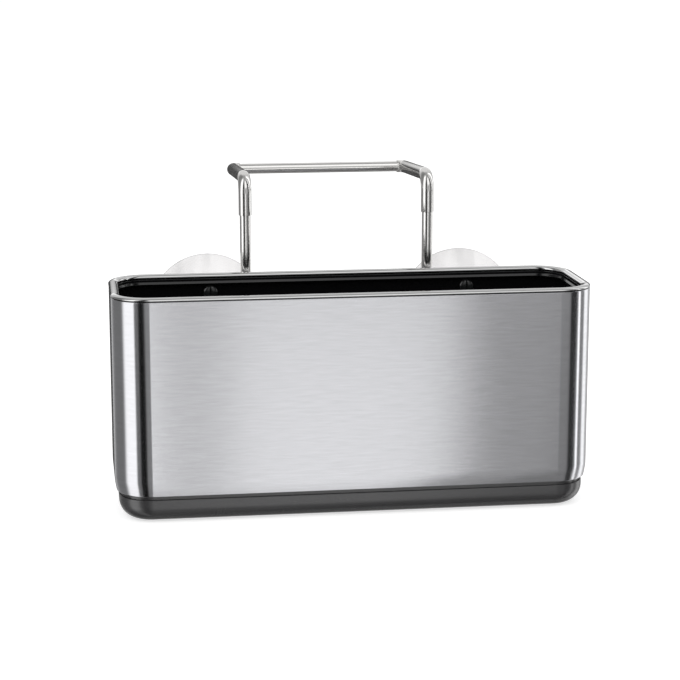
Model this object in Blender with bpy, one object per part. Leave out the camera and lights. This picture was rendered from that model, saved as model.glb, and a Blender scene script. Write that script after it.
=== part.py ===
"""Sink caddy: a slim steel-wrapped bin that hangs by a wire loop round a faucet.

Frame: +X to the object's right, +Y to its back, +Z up. The origin is the middle of
the base's flat underside. All lengths are in metres.
"""

import math

import bmesh
import bpy
from mathutils import Matrix, Vector

# Overall envelope, measured over the rim
WIDTH = 0.243
DEPTH = 0.073
HEIGHT = 0.1146
CORNER_RADIUS = 0.0191
CORNER_STEPS = 8

# Gap left between two pieces that touch on the real object
CLEARANCE = 0.0003
# How far a cutter runs past the face that it cuts
OVERRUN = 0.0010
# Points of one mesh that lie closer than this are one point
MERGE_DISTANCE = 0.000003
# Edges that turn by more than this many degrees are shaded sharp
SHARP_ANGLE = 32.0
QUARTER_TURN = 90.0

# Rim trim: a low half-round bead
RIM_WIDTH = 0.0048
RIM_HEIGHT = 0.0022
RIM_CROWN_STEPS = 6

# Steel band
BAND_INSET = 0.0002
BAND_WALL = 0.0008
BAND_BOTTOM_Z = 0.0142
BAND_ROLL_HEIGHT = 0.0080
BAND_ROLL_IN = 0.0010
BAND_ROLL_STEPS = 4

# Liner
LINER_WALL = 0.0016
LINER_FLOOR = 0.0020
LINER_FLANGE_WIDTH = 0.0016
LINER_FLANGE_DROP = 0.0015
LINER_LIP_REACH = 0.0009
LINER_LIP_DROP = 0.0011
LINER_LIP_UNDER = 0.0008
LINER_BOTTOM_RADIUS = 0.0035
LINER_BOTTOM_STEPS = 3
LINER_PAD_RADIUS = 0.0046
LINER_PAD_CAP = 0.0027
LINER_PAD_BEVEL = 0.0012

# Base tray
BASE_INSET = 0.0029
BASE_ROUND = 0.0095
BASE_ROUND_STEPS = 6
BASE_SHOULDER_Z = 0.0121
BASE_SHOULDER_BEVEL = 0.0005
BASE_GROOVE_DEPTH = 0.0012
BASE_GROOVE_TOP_Z = 0.0150
BASE_TOP_Z = 0.0215
BASE_WALL = 0.0020
BASE_FLOOR = 0.0022

# Drain slots, cut through the liner's floor and the base
DRAIN_LENGTH = 0.0240
DRAIN_WIDTH = 0.0032
DRAIN_PITCH_X = 0.0360
DRAIN_ROW_FROM_SIDE = 0.0225
DRAIN_COLUMNS_PER_SIDE = 2
DRAIN_END_STEPS = 4

# Base screws
SCREW_FROM_END = 0.0195
SCREW_FROM_SIDE = 0.0180
SCREW_HEAD_RADIUS = 0.0027
SCREW_HEAD_HEIGHT = 0.0016
SCREW_HEAD_CROWN = 0.0007
SCREW_SHANK_RADIUS = 0.0015
SCREW_ENGAGEMENT = 0.0045
SCREW_SEAT_DEPTH = 0.0026
SCREW_POST_WALL = 0.0014
SCREW_CROSS_REACH = 0.0016
SCREW_CROSS_HALF = 0.0003
SCREW_CROSS_DEPTH = 0.0010

# Wire loop and its two rods
ROD_X = 0.0486
ROD_BEHIND_PLATE = 0.0039
ROD_RADIUS = 0.0029
ROD_END_BELOW_BEND = 0.0018
TUBE_WALL = 0.00035
CRIMP_CLEARANCE = 0.0002
TUBE_BEND_RADIUS = 0.0085
SLEEVE_STRAIGHT = 0.0108
LOOP_TRAVEL = 0.0340
LOOP_REACH = 0.0746
# Degrees by which the arms slope down toward the crossbar
ARM_DROOP = 3.1
CROSSBAR_BEND_RADIUS = 0.0037
CROSSBAR_LEG = 0.0140
TUBE_END_PAST_BEND = 0.0002
WIRE_SIDES = 16
BEND_STEPS = 6

# Rod stops: caps on the rods' lower ends
STOP_WALL = 0.0016
STOP_HEIGHT = 0.0062
STOP_FLOOR = 0.0012

# Suction cups
CUP_X = 0.0681
CUP_RADIUS = 0.0309
CUP_CONTACT_WIDTH = 0.0040
CUP_LIP = 0.0009
CUP_BODY_RADIUS = 0.0090
CUP_BODY_DEPTH = 0.0090
CUP_HOLLOW = 0.0060
CUP_HOLLOW_POWER = 1.5
CUP_FLARE_POWER = 1.3
CUP_NECK_RADIUS = 0.0026
CUP_KNOB_RADIUS = 0.0040
CUP_KNOB_THICKNESS = 0.0022
CUP_SIDES = 32
CUP_FLARE_STEPS = 6

# Back brackets
BRACKET_PLATE = 0.0030
BRACKET_HEIGHT = 0.0462
BRACKET_BELOW_RIM = 0.0047
BRACKET_MARGIN = 0.0110
BRACKET_CORNER = 0.0030
BRACKET_CORNER_STEPS = 3
COLLAR_WALL = 0.0017
COLLAR_LENGTH = 0.0110
COLLAR_STEPS = 8
SOCKET_WALL = 0.0032
SOCKET_POCKET_FLOOR = 0.0026
SOCKET_WEB = 0.0030
SOCKET_STEPS = 8

# Guide bushes
BUSH_WALL = 0.0010
BUSH_FLANGE_REACH = 0.0008
BUSH_FLANGE_THICKNESS = 0.0010

# Bracket rivets
RIVET_BELOW_TOP = 0.0035
RIVET_PITCH = 0.0278
RIVET_HEAD_RADIUS = 0.00365
RIVET_HEAD_HEIGHT = 0.0018
RIVET_HEAD_EDGE = 0.0005
RIVET_SHANK_RADIUS = 0.0018
RIVET_TAIL_RADIUS = 0.0027
RIVET_TAIL_HEIGHT = 0.0012
RIVET_SLOT_HALF = 0.00035
RIVET_SLOT_DEPTH = 0.0009
ROUND_SIDES = 16

SIDES = (("left", -1), ("right", 1))

# Places and sizes worked out from those above, the shell first
HALF_DEPTH = DEPTH / 2
RIM_BOTTOM_Z = HEIGHT - RIM_HEIGHT
BAND_TOP_Z = RIM_BOTTOM_Z - CLEARANCE
BAND_BACK_Y = HALF_DEPTH - BAND_INSET
LINER_INSET = BAND_INSET + BAND_WALL + CLEARANCE
LINER_BOTTOM_Z = BASE_TOP_Z + CLEARANCE
LINER_FLOOR_Z = LINER_BOTTOM_Z + LINER_FLOOR
LINER_BACK_Y = HALF_DEPTH - LINER_INSET - LINER_WALL
NECK_INSET = BAND_INSET + BAND_ROLL_IN + BAND_WALL + CLEARANCE
DRAIN_ROW_Y = HALF_DEPTH - DRAIN_ROW_FROM_SIDE
SCREW_X = WIDTH / 2 - SCREW_FROM_END
SCREW_Y = HALF_DEPTH - SCREW_FROM_SIDE
SCREW_BORE = SCREW_SHANK_RADIUS + CLEARANCE
SCREW_SEAT = SCREW_HEAD_RADIUS + CLEARANCE
SCREW_POST_RADIUS = SCREW_SEAT + SCREW_POST_WALL
SCREW_TIP_Z = LINER_BOTTOM_Z + SCREW_ENGAGEMENT
LINER_PAD_TOP_Z = SCREW_TIP_Z + CLEARANCE + LINER_PAD_CAP

# The brackets, and what they hold
BRACKET_FRONT_Y = BAND_BACK_Y + CLEARANCE
BRACKET_BACK_Y = BRACKET_FRONT_Y + BRACKET_PLATE
BRACKET_TOP_Z = RIM_BOTTOM_Z - BRACKET_BELOW_RIM
BRACKET_BOTTOM_Z = BRACKET_TOP_Z - BRACKET_HEIGHT
ROD_Y = BRACKET_BACK_Y + ROD_BEHIND_PLATE
BUSH_INNER_RADIUS = ROD_RADIUS + CLEARANCE
BUSH_RADIUS = BUSH_INNER_RADIUS + BUSH_WALL
COLLAR_BORE = BUSH_RADIUS + CLEARANCE
COLLAR_RADIUS = COLLAR_BORE + COLLAR_WALL
BUSH_FLANGE_RADIUS = BUSH_RADIUS + BUSH_FLANGE_REACH
BRACKET_INNER_X = ROD_X - COLLAR_RADIUS
BRACKET_OUTER_X = CUP_X + BRACKET_MARGIN
RIVET_UPPER_Z = BRACKET_TOP_Z - RIVET_BELOW_TOP
RIVET_LOWER_Z = RIVET_UPPER_Z - RIVET_PITCH
CUP_Z = RIVET_UPPER_Z - RIVET_PITCH / 2
CUP_NECK_LENGTH = SOCKET_WEB + 2 * CLEARANCE
KNOB_FRONT_Y = BRACKET_BACK_Y + SOCKET_POCKET_FLOOR + CLEARANCE
CUP_BODY_Y = KNOB_FRONT_Y + CUP_KNOB_THICKNESS + CUP_NECK_LENGTH
CUP_PLANE_Y = CUP_BODY_Y + CUP_BODY_DEPTH
SOCKET_BACK_Y = CUP_BODY_Y - CLEARANCE
SOCKET_HALF_WIDTH = CUP_KNOB_RADIUS + CLEARANCE + SOCKET_WALL
SOCKET_TOP_Z = CUP_Z + SOCKET_HALF_WIDTH
SOCKET_BOTTOM_Z = CUP_Z - SOCKET_HALF_WIDTH

# The wire loop, raised as far as its stops let it
UPPER_FLANGE_TOP_Z = BRACKET_TOP_Z + CLEARANCE + BUSH_FLANGE_THICKNESS
LOWER_FLANGE_Z = BRACKET_BOTTOM_Z - CLEARANCE - BUSH_FLANGE_THICKNESS
STOP_TOP_Z = LOWER_FLANGE_Z - CLEARANCE
STOP_RADIUS = ROD_RADIUS + CLEARANCE + STOP_WALL
ROD_BOTTOM_Z = STOP_TOP_Z - STOP_HEIGHT + STOP_FLOOR + CLEARANCE
TUBE_RADIUS = ROD_RADIUS + CRIMP_CLEARANCE + TUBE_WALL
SLEEVE_END_Z = UPPER_FLANGE_TOP_Z + CLEARANCE + LOOP_TRAVEL
LOOP_Z = SLEEVE_END_Z + SLEEVE_STRAIGHT + TUBE_BEND_RADIUS
ROD_TOP_Z = LOOP_Z - TUBE_BEND_RADIUS - ROD_END_BELOW_BEND
ARM_SLOPE = math.radians(ARM_DROOP)
ARM_DIRECTION = Vector((0.0, math.cos(ARM_SLOPE), -math.sin(ARM_SLOPE)))
ARM_START_Y = ROD_Y + TUBE_BEND_RADIUS * (1 + math.sin(ARM_SLOPE))
ARM_START_Z = LOOP_Z - TUBE_BEND_RADIUS * (1 - math.cos(ARM_SLOPE))
CROSSBAR_Y = ROD_Y + LOOP_REACH
CROSSBAR_Z = ARM_START_Z - (CROSSBAR_Y - ARM_START_Y) * math.tan(ARM_SLOPE)


def clear_scene():
    """Remove whatever the file starts with."""
    for item in list(bpy.data.objects):
        bpy.data.objects.remove(item, do_unlink=True)


def principled(name, colour, roughness, metallic=0.0, alpha=1.0):
    """One Principled material."""
    material = bpy.data.materials.new(name)
    material.use_nodes = True
    shader = material.node_tree.nodes["Principled BSDF"]
    shader.inputs["Base Color"].default_value = (*colour, 1.0)
    shader.inputs["Roughness"].default_value = roughness
    shader.inputs["Metallic"].default_value = metallic
    shader.inputs["Alpha"].default_value = alpha
    return material


def finish_object(name, bm, material, origin=(0.0, 0.0, 0.0)):
    """Turn a bmesh into a named object, its geometry kept about the given origin."""
    bmesh.ops.remove_doubles(bm, verts=bm.verts, dist=MERGE_DISTANCE)
    bmesh.ops.recalc_face_normals(bm, faces=bm.faces)
    mesh = bpy.data.meshes.new(name)
    bm.to_mesh(mesh)
    bm.free()
    mesh.materials.append(material)
    mesh.shade_smooth()
    mesh.set_sharp_from_angle(angle=math.radians(SHARP_ANGLE))
    item = bpy.data.objects.new(name, mesh)
    item.location = origin
    bpy.context.scene.collection.objects.link(item)
    return item


def cutter_object(name, bm, origin=(0.0, 0.0, 0.0)):
    """A hidden helper that a Boolean modifier reads."""
    bmesh.ops.recalc_face_normals(bm, faces=bm.faces)
    mesh = bpy.data.meshes.new(name)
    bm.to_mesh(mesh)
    bm.free()
    item = bpy.data.objects.new(name, mesh)
    item.location = origin
    item.hide_render = True
    item.display_type = 'WIRE'
    bpy.context.scene.collection.objects.link(item)
    return item


def boolean(target, helper, operation='DIFFERENCE'):
    """Add a Boolean of the helper to the target."""
    modifier = target.modifiers.new(helper.name, 'BOOLEAN')
    modifier.operation = operation
    modifier.solver = 'EXACT'
    modifier.object = helper


def arc(centre, radius, start, end, steps):
    """Points of an arc in a profile's plane, angles in degrees."""
    points = []
    for index in range(steps + 1):
        angle = math.radians(start + (end - start) * index / steps)
        points.append((centre[0] + radius * math.cos(angle), centre[1] + radius * math.sin(angle)))
    return points


def outline(inset):
    """The rounded rectangle of the envelope moved inward by inset, anticlockwise from above."""
    radius = CORNER_RADIUS - inset
    reach_x = WIDTH / 2 - CORNER_RADIUS
    reach_y = HALF_DEPTH - CORNER_RADIUS
    points = []
    for sign_x, sign_y, start in ((1, 1, 0), (-1, 1, 90), (-1, -1, 180), (1, -1, 270)):
        points += arc((sign_x * reach_x, sign_y * reach_y), radius, start, start + 90, CORNER_STEPS)
    return points


def sweep_outline(profile, closed):
    """Carry a profile of (inset, z) points round the envelope; an open profile is capped at both ends."""
    bm = bmesh.new()
    rings = []
    for inset, z in profile:
        rings.append([bm.verts.new((x, y, z)) for x, y in outline(inset)])
    pairs = list(zip(rings, rings[1:]))
    if closed:
        pairs.append((rings[-1], rings[0]))
    for lower, upper in pairs:
        for index in range(len(lower)):
            after = (index + 1) % len(lower)
            bm.faces.new((lower[index], lower[after], upper[after], upper[index]))
    if not closed:
        bm.faces.new(rings[0])
        bm.faces.new(rings[-1])
    return bm


def turned(profile, sides, axis='Z', closed=False):
    """Turn a profile of (radius, height) points about an axis through the origin."""
    bm = bmesh.new()
    rings = []
    for radius, height in profile:
        if radius == 0.0:
            rings.append([bm.verts.new((0.0, 0.0, height))])
            continue
        ring = []
        for index in range(sides):
            angle = 2 * math.pi * index / sides
            ring.append(bm.verts.new((radius * math.cos(angle), radius * math.sin(angle), height)))
        rings.append(ring)
    pairs = list(zip(rings, rings[1:]))
    if closed:
        pairs.append((rings[-1], rings[0]))
    for lower, upper in pairs:
        for index in range(sides):
            after = (index + 1) % sides
            corners = [lower[index % len(lower)], lower[after % len(lower)],
                       upper[after % len(upper)], upper[index % len(upper)]]
            bm.faces.new(list(dict.fromkeys(corners)))
    if axis == 'Y':
        turn = Matrix.Rotation(-math.pi / 2, 3, 'X')
        bmesh.ops.rotate(bm, verts=bm.verts, cent=(0.0, 0.0, 0.0), matrix=turn)
    return bm


def prism(points, low, high, axis='Z'):
    """Extrude a flat outline between two heights along Z, or along Y with the outline in X and Z."""
    bm = bmesh.new()
    rings = []
    for level in (low, high):
        if axis == 'Z':
            rings.append([bm.verts.new((a, b, level)) for a, b in points])
        else:
            rings.append([bm.verts.new((a, level, b)) for a, b in points])
    for index in range(len(points)):
        after = (index + 1) % len(points)
        bm.faces.new((rings[0][index], rings[0][after], rings[1][after], rings[1][index]))
    bm.faces.new(rings[0])
    bm.faces.new(rings[1])
    return bm


def slot_points(centre_x, centre_y):
    """Outline of a drain slot with round ends, lengthwise along X."""
    radius = DRAIN_WIDTH / 2
    reach = DRAIN_LENGTH / 2 - radius
    points = arc((centre_x + reach, centre_y), radius, -90, 90, DRAIN_END_STEPS)
    points += arc((centre_x - reach, centre_y), radius, 90, 270, DRAIN_END_STEPS)
    return points


def bracket_outline(low_x, high_x, low_z, high_z):
    """Outline of a rectangle with the bracket's round corners."""
    radius, steps = BRACKET_CORNER, BRACKET_CORNER_STEPS
    points = arc((high_x - radius, high_z - radius), radius, 0, 90, steps)
    points += arc((low_x + radius, high_z - radius), radius, 90, 180, steps)
    points += arc((low_x + radius, low_z + radius), radius, 180, 270, steps)
    points += arc((high_x - radius, low_z + radius), radius, 270, 360, steps)
    return points


def rod_stock(radius, low, high):
    """Profile of a plain cylinder."""
    return [(0.0, low), (radius, low), (radius, high), (0.0, high)]


def join_into(bm, other):
    """Copy one bmesh's geometry into another."""
    copy = bpy.data.meshes.new("joined")
    other.to_mesh(copy)
    other.free()
    bm.from_mesh(copy)
    bpy.data.meshes.remove(copy)


def bend(centre, towards_start, towards_end, radius, turn=QUARTER_TURN):
    """Points of a bend of so many degrees about a centre, from one unit direction towards another."""
    points = []
    for index in range(BEND_STEPS + 1):
        angle = math.radians(turn) * index / BEND_STEPS
        points.append(centre + radius * (math.cos(angle) * towards_start + math.sin(angle) * towards_end))
    return points


def tube_rings(bm, path, radius):
    """Rings of vertices square to a path, whose frame is carried along without twist."""
    rings = []
    side = None
    for index, point in enumerate(path):
        before = path[max(index - 1, 0)]
        after = path[min(index + 1, len(path) - 1)]
        ahead = (after - before).normalized()
        if side is None:
            side = ahead.orthogonal().normalized()
        side = (side - ahead * side.dot(ahead)).normalized()
        across = ahead.cross(side)
        ring = []
        for step in range(WIRE_SIDES):
            angle = 2 * math.pi * step / WIRE_SIDES
            ring.append(bm.verts.new(point + radius * (math.cos(angle) * side + math.sin(angle) * across)))
        rings.append(ring)
    return rings


def skin(bm, first, second):
    """Quads between two rings of equal length."""
    for index in range(len(first)):
        after = (index + 1) % len(first)
        bm.faces.new((first[index], first[after], second[after], second[index]))


def wire(path, radius):
    """A solid round wire along a path."""
    bm = bmesh.new()
    rings = tube_rings(bm, path, radius)
    for first, second in zip(rings, rings[1:]):
        skin(bm, first, second)
    bm.faces.new(rings[0])
    bm.faces.new(rings[-1])
    return bm


def pipe(path, radius, wall):
    """A hollow round tube along a path, open at both ends."""
    bm = bmesh.new()
    outer = tube_rings(bm, path, radius)
    inner = tube_rings(bm, path, radius - wall)
    for rings in (outer, inner):
        for first, second in zip(rings, rings[1:]):
            skin(bm, first, second)
    skin(bm, outer[0], inner[0])
    skin(bm, outer[-1], inner[-1])
    return bm


def make_band(material):
    """Steel band: straight wall, with its lower edge rolled in along a quarter wave."""
    roll_top = BAND_BOTTOM_Z + BAND_ROLL_HEIGHT
    outer = [(BAND_INSET, BAND_TOP_Z)]
    for index in range(BAND_ROLL_STEPS + 1):
        share = index / BAND_ROLL_STEPS
        inset = BAND_INSET + BAND_ROLL_IN * (1 - math.cos(share * math.pi / 2))
        outer.append((inset, roll_top - BAND_ROLL_HEIGHT * share))
    inner = [(inset + BAND_WALL, z) for inset, z in reversed(outer)]
    band = finish_object("outer_band", sweep_outline(outer + inner, closed=True), material)
    cut_rivet_holes(band, "band", BAND_BACK_Y - BAND_WALL)
    return band


def make_rim(material):
    """Polished bead: flat underside and a half-round crown."""
    half = RIM_WIDTH / 2
    profile = []
    for index in range(RIM_CROWN_STEPS + 1):
        angle = math.pi * index / RIM_CROWN_STEPS
        profile.append((half - half * math.cos(angle), RIM_BOTTOM_Z + RIM_HEIGHT * math.sin(angle)))
    return finish_object("rim_trim", sweep_outline(profile, closed=True), material)


def drain_cutter(name, low, high):
    """All drain slots as one helper."""
    bm = bmesh.new()
    for column in range(DRAIN_COLUMNS_PER_SIDE):
        for sign_x in (-1, 1):
            for sign_y in (-1, 1):
                centre_x = sign_x * (DRAIN_PITCH_X / 2 + DRAIN_PITCH_X * column)
                join_into(bm, prism(slot_points(centre_x, sign_y * DRAIN_ROW_Y), low, high))
    return cutter_object(name, bm)


def screw_places():
    """Name, x and y of each base screw."""
    for row, sign_y in (("front", -1), ("back", 1)):
        for side, sign_x in SIDES:
            yield f"{row}_{side}", sign_x * SCREW_X, sign_y * SCREW_Y


def at_each_screw(target, profile):
    """Add a turned body at each screw's place."""
    for _, x, y in screw_places():
        body = turned(profile, ROUND_SIDES)
        bmesh.ops.translate(body, verts=body.verts, vec=(x, y, 0.0))
        join_into(target, body)


def make_liner(material):
    """Bucket with a flange and a sloping lip at its top, screw pads and drain slots in its floor."""
    foot = LINER_INSET + LINER_BOTTOM_RADIUS
    inside = LINER_INSET + LINER_WALL
    inner_foot = inside + LINER_BOTTOM_RADIUS
    profile = []
    for index in range(LINER_BOTTOM_STEPS + 1):
        angle = math.pi / 2 * index / LINER_BOTTOM_STEPS
        profile.append((foot - LINER_BOTTOM_RADIUS * math.sin(angle),
                        LINER_BOTTOM_Z + LINER_BOTTOM_RADIUS * (1 - math.cos(angle))))
    flange = inside + LINER_FLANGE_WIDTH
    lip = flange + LINER_LIP_REACH
    lip_top = BAND_TOP_Z - LINER_FLANGE_DROP
    lip_bottom = lip_top - LINER_LIP_DROP
    profile.append((LINER_INSET, BAND_TOP_Z))
    profile.append((flange, BAND_TOP_Z))
    profile.append((flange, lip_top))
    profile.append((lip, lip_bottom))
    profile.append((inside, lip_bottom - LINER_LIP_UNDER))
    for index in range(LINER_BOTTOM_STEPS + 1):
        angle = math.pi / 2 * (1 - index / LINER_BOTTOM_STEPS)
        profile.append((inner_foot - LINER_BOTTOM_RADIUS * math.sin(angle),
                        LINER_FLOOR_Z + LINER_BOTTOM_RADIUS * (1 - math.cos(angle))))
    liner = finish_object("liner", sweep_outline(profile, closed=False), material)
    pads = bmesh.new()
    holes = bmesh.new()
    top = LINER_PAD_TOP_Z
    pad = [(0.0, LINER_FLOOR_Z - LINER_FLOOR / 2), (LINER_PAD_RADIUS, LINER_FLOOR_Z - LINER_FLOOR / 2),
           (LINER_PAD_RADIUS, top - LINER_PAD_BEVEL), (LINER_PAD_RADIUS - LINER_PAD_BEVEL, top), (0.0, top)]
    hole = rod_stock(SCREW_BORE, LINER_BOTTOM_Z - OVERRUN, SCREW_TIP_Z + CLEARANCE)
    at_each_screw(pads, pad)
    at_each_screw(holes, hole)
    boolean(liner, cutter_object("liner_pads", pads), 'UNION')
    boolean(liner, cutter_object("liner_screw_holes", holes))
    boolean(liner, drain_cutter("liner_drains", LINER_BOTTOM_Z - OVERRUN, LINER_FLOOR_Z + OVERRUN))
    cut_rivet_holes(liner, "liner", LINER_BACK_Y)
    return liner


def make_base(material):
    """Open tray with a large round lower edge, a shoulder groove, screw posts and drain slots."""
    profile = []
    for index in range(BASE_ROUND_STEPS + 1):
        angle = math.pi / 2 * index / BASE_ROUND_STEPS
        inset = BASE_INSET + BASE_ROUND * (1 - math.sin(angle))
        profile.append((inset, BASE_ROUND * (1 - math.cos(angle))))
    inside = NECK_INSET + BASE_WALL
    inner_foot = BASE_INSET + BASE_ROUND
    profile.append((BASE_INSET, BASE_SHOULDER_Z - BASE_SHOULDER_BEVEL))
    profile.append((BASE_INSET + BASE_SHOULDER_BEVEL, BASE_SHOULDER_Z))
    groove = BASE_INSET + BASE_GROOVE_DEPTH
    profile.append((groove, BASE_SHOULDER_Z))
    profile.append((groove, BASE_GROOVE_TOP_Z))
    profile.append((NECK_INSET, BASE_GROOVE_TOP_Z + groove - NECK_INSET))
    profile.append((NECK_INSET, BASE_TOP_Z))
    profile.append((inside, BASE_TOP_Z))
    profile.append((inside, BASE_ROUND))
    profile.append((inner_foot, BASE_FLOOR))
    base = finish_object("base_tray", sweep_outline(profile, closed=False), material)
    boolean(base, drain_cutter("base_drains", -OVERRUN, BASE_FLOOR + OVERRUN))
    posts = bmesh.new()
    holes = bmesh.new()
    post = rod_stock(SCREW_POST_RADIUS, BASE_FLOOR / 2, BASE_TOP_Z)
    above = BASE_TOP_Z + OVERRUN
    hole = [(0.0, -OVERRUN), (SCREW_SEAT, -OVERRUN), (SCREW_SEAT, SCREW_SEAT_DEPTH),
            (SCREW_BORE, SCREW_SEAT_DEPTH), (SCREW_BORE, above), (0.0, above)]
    at_each_screw(posts, post)
    at_each_screw(holes, hole)
    boolean(base, cutter_object("base_posts", posts), 'UNION')
    boolean(base, cutter_object("base_screw_holes", holes))
    return base


def make_base_screws(material):
    """Pan-head screws with a cross recess, from below up into the liner's pads."""
    head_bottom = SCREW_SEAT_DEPTH - CLEARANCE - SCREW_HEAD_HEIGHT
    head_top = head_bottom + SCREW_HEAD_HEIGHT
    tip = SCREW_TIP_Z
    profile = [(0.0, head_bottom), (SCREW_HEAD_RADIUS - SCREW_HEAD_CROWN, head_bottom),
               (SCREW_HEAD_RADIUS, head_bottom + SCREW_HEAD_HEIGHT / 2), (SCREW_HEAD_RADIUS, head_top),
               (SCREW_SHANK_RADIUS, head_top), (SCREW_SHANK_RADIUS, tip - SCREW_SHANK_RADIUS), (0.0, tip)]
    reach, half = SCREW_CROSS_REACH, SCREW_CROSS_HALF
    cross = [(reach, -half), (reach, half), (half, half), (half, reach),
             (-half, reach), (-half, half), (-reach, half), (-reach, -half),
             (-half, -half), (-half, -reach), (half, -reach), (half, -half)]
    for name, x, y in screw_places():
        screw = finish_object(f"base_screw_{name}", turned(profile, ROUND_SIDES), material, (x, y, 0.0))
        recess = prism(cross, head_bottom - OVERRUN, head_bottom + SCREW_CROSS_DEPTH)
        boolean(screw, cutter_object(f"recess_{name}", recess, (x, y, 0.0)))


def rivet_heights():
    """Name and height of each rivet on one bracket."""
    return (("upper", RIVET_UPPER_Z), ("lower", RIVET_LOWER_Z))


def cut_rivet_holes(target, name, wall_y):
    """Cut the four rivet holes through a back wall whose inner face is at wall_y."""
    bm = bmesh.new()
    radius = RIVET_SHANK_RADIUS + CLEARANCE
    low = wall_y - OVERRUN
    high = BRACKET_BACK_Y + OVERRUN
    for _, sign in SIDES:
        for _, z in rivet_heights():
            body = turned(rod_stock(radius, low, high), ROUND_SIDES, 'Y')
            bmesh.ops.translate(body, verts=body.verts, vec=(sign * CUP_X, 0.0, z))
            join_into(bm, body)
    boolean(target, cutter_object(f"{name}_rivet_holes", bm))


def make_rivets(material):
    """Slotted domed rivets through liner, band and bracket, each closed by a tail behind the bracket."""
    face = LINER_BACK_Y - CLEARANCE
    tail = BRACKET_BACK_Y + CLEARANCE
    dome_y = face - RIVET_HEAD_HEIGHT
    profile = [(0.0, dome_y), (RIVET_HEAD_RADIUS / 2, dome_y + RIVET_HEAD_EDGE / 2),
               (RIVET_HEAD_RADIUS - RIVET_HEAD_EDGE, dome_y + 2 * RIVET_HEAD_EDGE),
               (RIVET_HEAD_RADIUS, face - RIVET_HEAD_EDGE), (RIVET_HEAD_RADIUS, face),
               (RIVET_SHANK_RADIUS, face), (RIVET_SHANK_RADIUS, tail), (RIVET_TAIL_RADIUS, tail),
               (RIVET_TAIL_RADIUS / 2, tail + RIVET_TAIL_HEIGHT), (0.0, tail + RIVET_TAIL_HEIGHT)]
    half, reach = RIVET_SLOT_HALF, RIVET_HEAD_RADIUS + OVERRUN
    points = [(-half, -reach), (half, -reach), (half, reach), (-half, reach)]
    for side, sign in SIDES:
        for level, z in rivet_heights():
            place = (sign * CUP_X, 0.0, z)
            body = turned(profile, ROUND_SIDES, 'Y')
            rivet = finish_object(f"bracket_rivet_{level}_{side}", body, material, place)
            slot = prism(points, dome_y - OVERRUN, dome_y + RIVET_SLOT_DEPTH, 'Y')
            boolean(rivet, cutter_object(f"slot_{level}_{side}", slot, place))


def collar_levels():
    """Name, bottom and top of each rod collar."""
    return (("upper", BRACKET_TOP_Z - COLLAR_LENGTH, BRACKET_TOP_Z),
            ("lower", BRACKET_BOTTOM_Z, BRACKET_BOTTOM_Z + COLLAR_LENGTH))


def collar_points(sign):
    """D-shaped outline of a collar: straight sides from the plate, round about the rod."""
    root_y = BRACKET_BACK_Y - BRACKET_PLATE / 2
    points = arc((sign * ROD_X, ROD_Y), COLLAR_RADIUS, 0, 180, COLLAR_STEPS)
    points.append((sign * ROD_X - COLLAR_RADIUS, root_y))
    points.append((sign * ROD_X + COLLAR_RADIUS, root_y))
    return points


def make_brackets(material):
    """Back carriers: a plate with two rod collars and a slotted socket for the cup's knob."""
    for side, sign in SIDES:
        low_x, high_x = sorted((sign * BRACKET_INNER_X, sign * BRACKET_OUTER_X))
        plate = bracket_outline(low_x, high_x, BRACKET_BOTTOM_Z, BRACKET_TOP_Z)
        body = prism(plate, BRACKET_FRONT_Y, BRACKET_BACK_Y, 'Y')
        bracket = finish_object(f"back_bracket_{side}", body, material)
        root_y = BRACKET_BACK_Y - BRACKET_PLATE / 2
        additions = bmesh.new()
        for _, low, high in collar_levels():
            join_into(additions, prism(collar_points(sign), low, high))
        centre_x = sign * CUP_X
        socket = bracket_outline(centre_x - SOCKET_HALF_WIDTH, centre_x + SOCKET_HALF_WIDTH,
                                 SOCKET_BOTTOM_Z, SOCKET_TOP_Z)
        join_into(additions, prism(socket, root_y, SOCKET_BACK_Y, 'Y'))
        boolean(bracket, cutter_object(f"bracket_bosses_{side}", additions), 'UNION')
        cut_socket(bracket, side, centre_x)
        cut_collar_bores(bracket, side, sign)
        cut_rivet_holes(bracket, f"bracket_{side}", BRACKET_FRONT_Y)


def keyhole_points(centre_x, radius):
    """Outline of a U open at the top: a half circle about the cup's axis, run up past the socket."""
    points = arc((centre_x, CUP_Z), radius, 180, 360, SOCKET_STEPS)
    points.append((centre_x + radius, SOCKET_TOP_Z + OVERRUN))
    points.append((centre_x - radius, SOCKET_TOP_Z + OVERRUN))
    return points


def cut_socket(bracket, side, centre_x):
    """A wide pocket for the knob, and a narrow slot through the web for the neck."""
    web_front = SOCKET_BACK_Y - SOCKET_WEB
    knob_keyhole = keyhole_points(centre_x, CUP_KNOB_RADIUS + CLEARANCE)
    neck_keyhole = keyhole_points(centre_x, CUP_NECK_RADIUS + CLEARANCE)
    pocket = prism(knob_keyhole, KNOB_FRONT_Y - CLEARANCE, web_front, 'Y')
    neck = prism(neck_keyhole, web_front - CLEARANCE, SOCKET_BACK_Y + OVERRUN, 'Y')
    boolean(bracket, cutter_object(f"socket_pocket_{side}", pocket))
    boolean(bracket, cutter_object(f"socket_neck_{side}", neck))


def cut_collar_bores(bracket, side, sign):
    """One straight bore through both collars."""
    low = BRACKET_BOTTOM_Z - OVERRUN
    high = BRACKET_TOP_Z + OVERRUN
    bore = turned(rod_stock(COLLAR_BORE, low, high), ROUND_SIDES)
    boolean(bracket, cutter_object(f"collar_bores_{side}", bore, (sign * ROD_X, ROD_Y, 0.0)))


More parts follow.
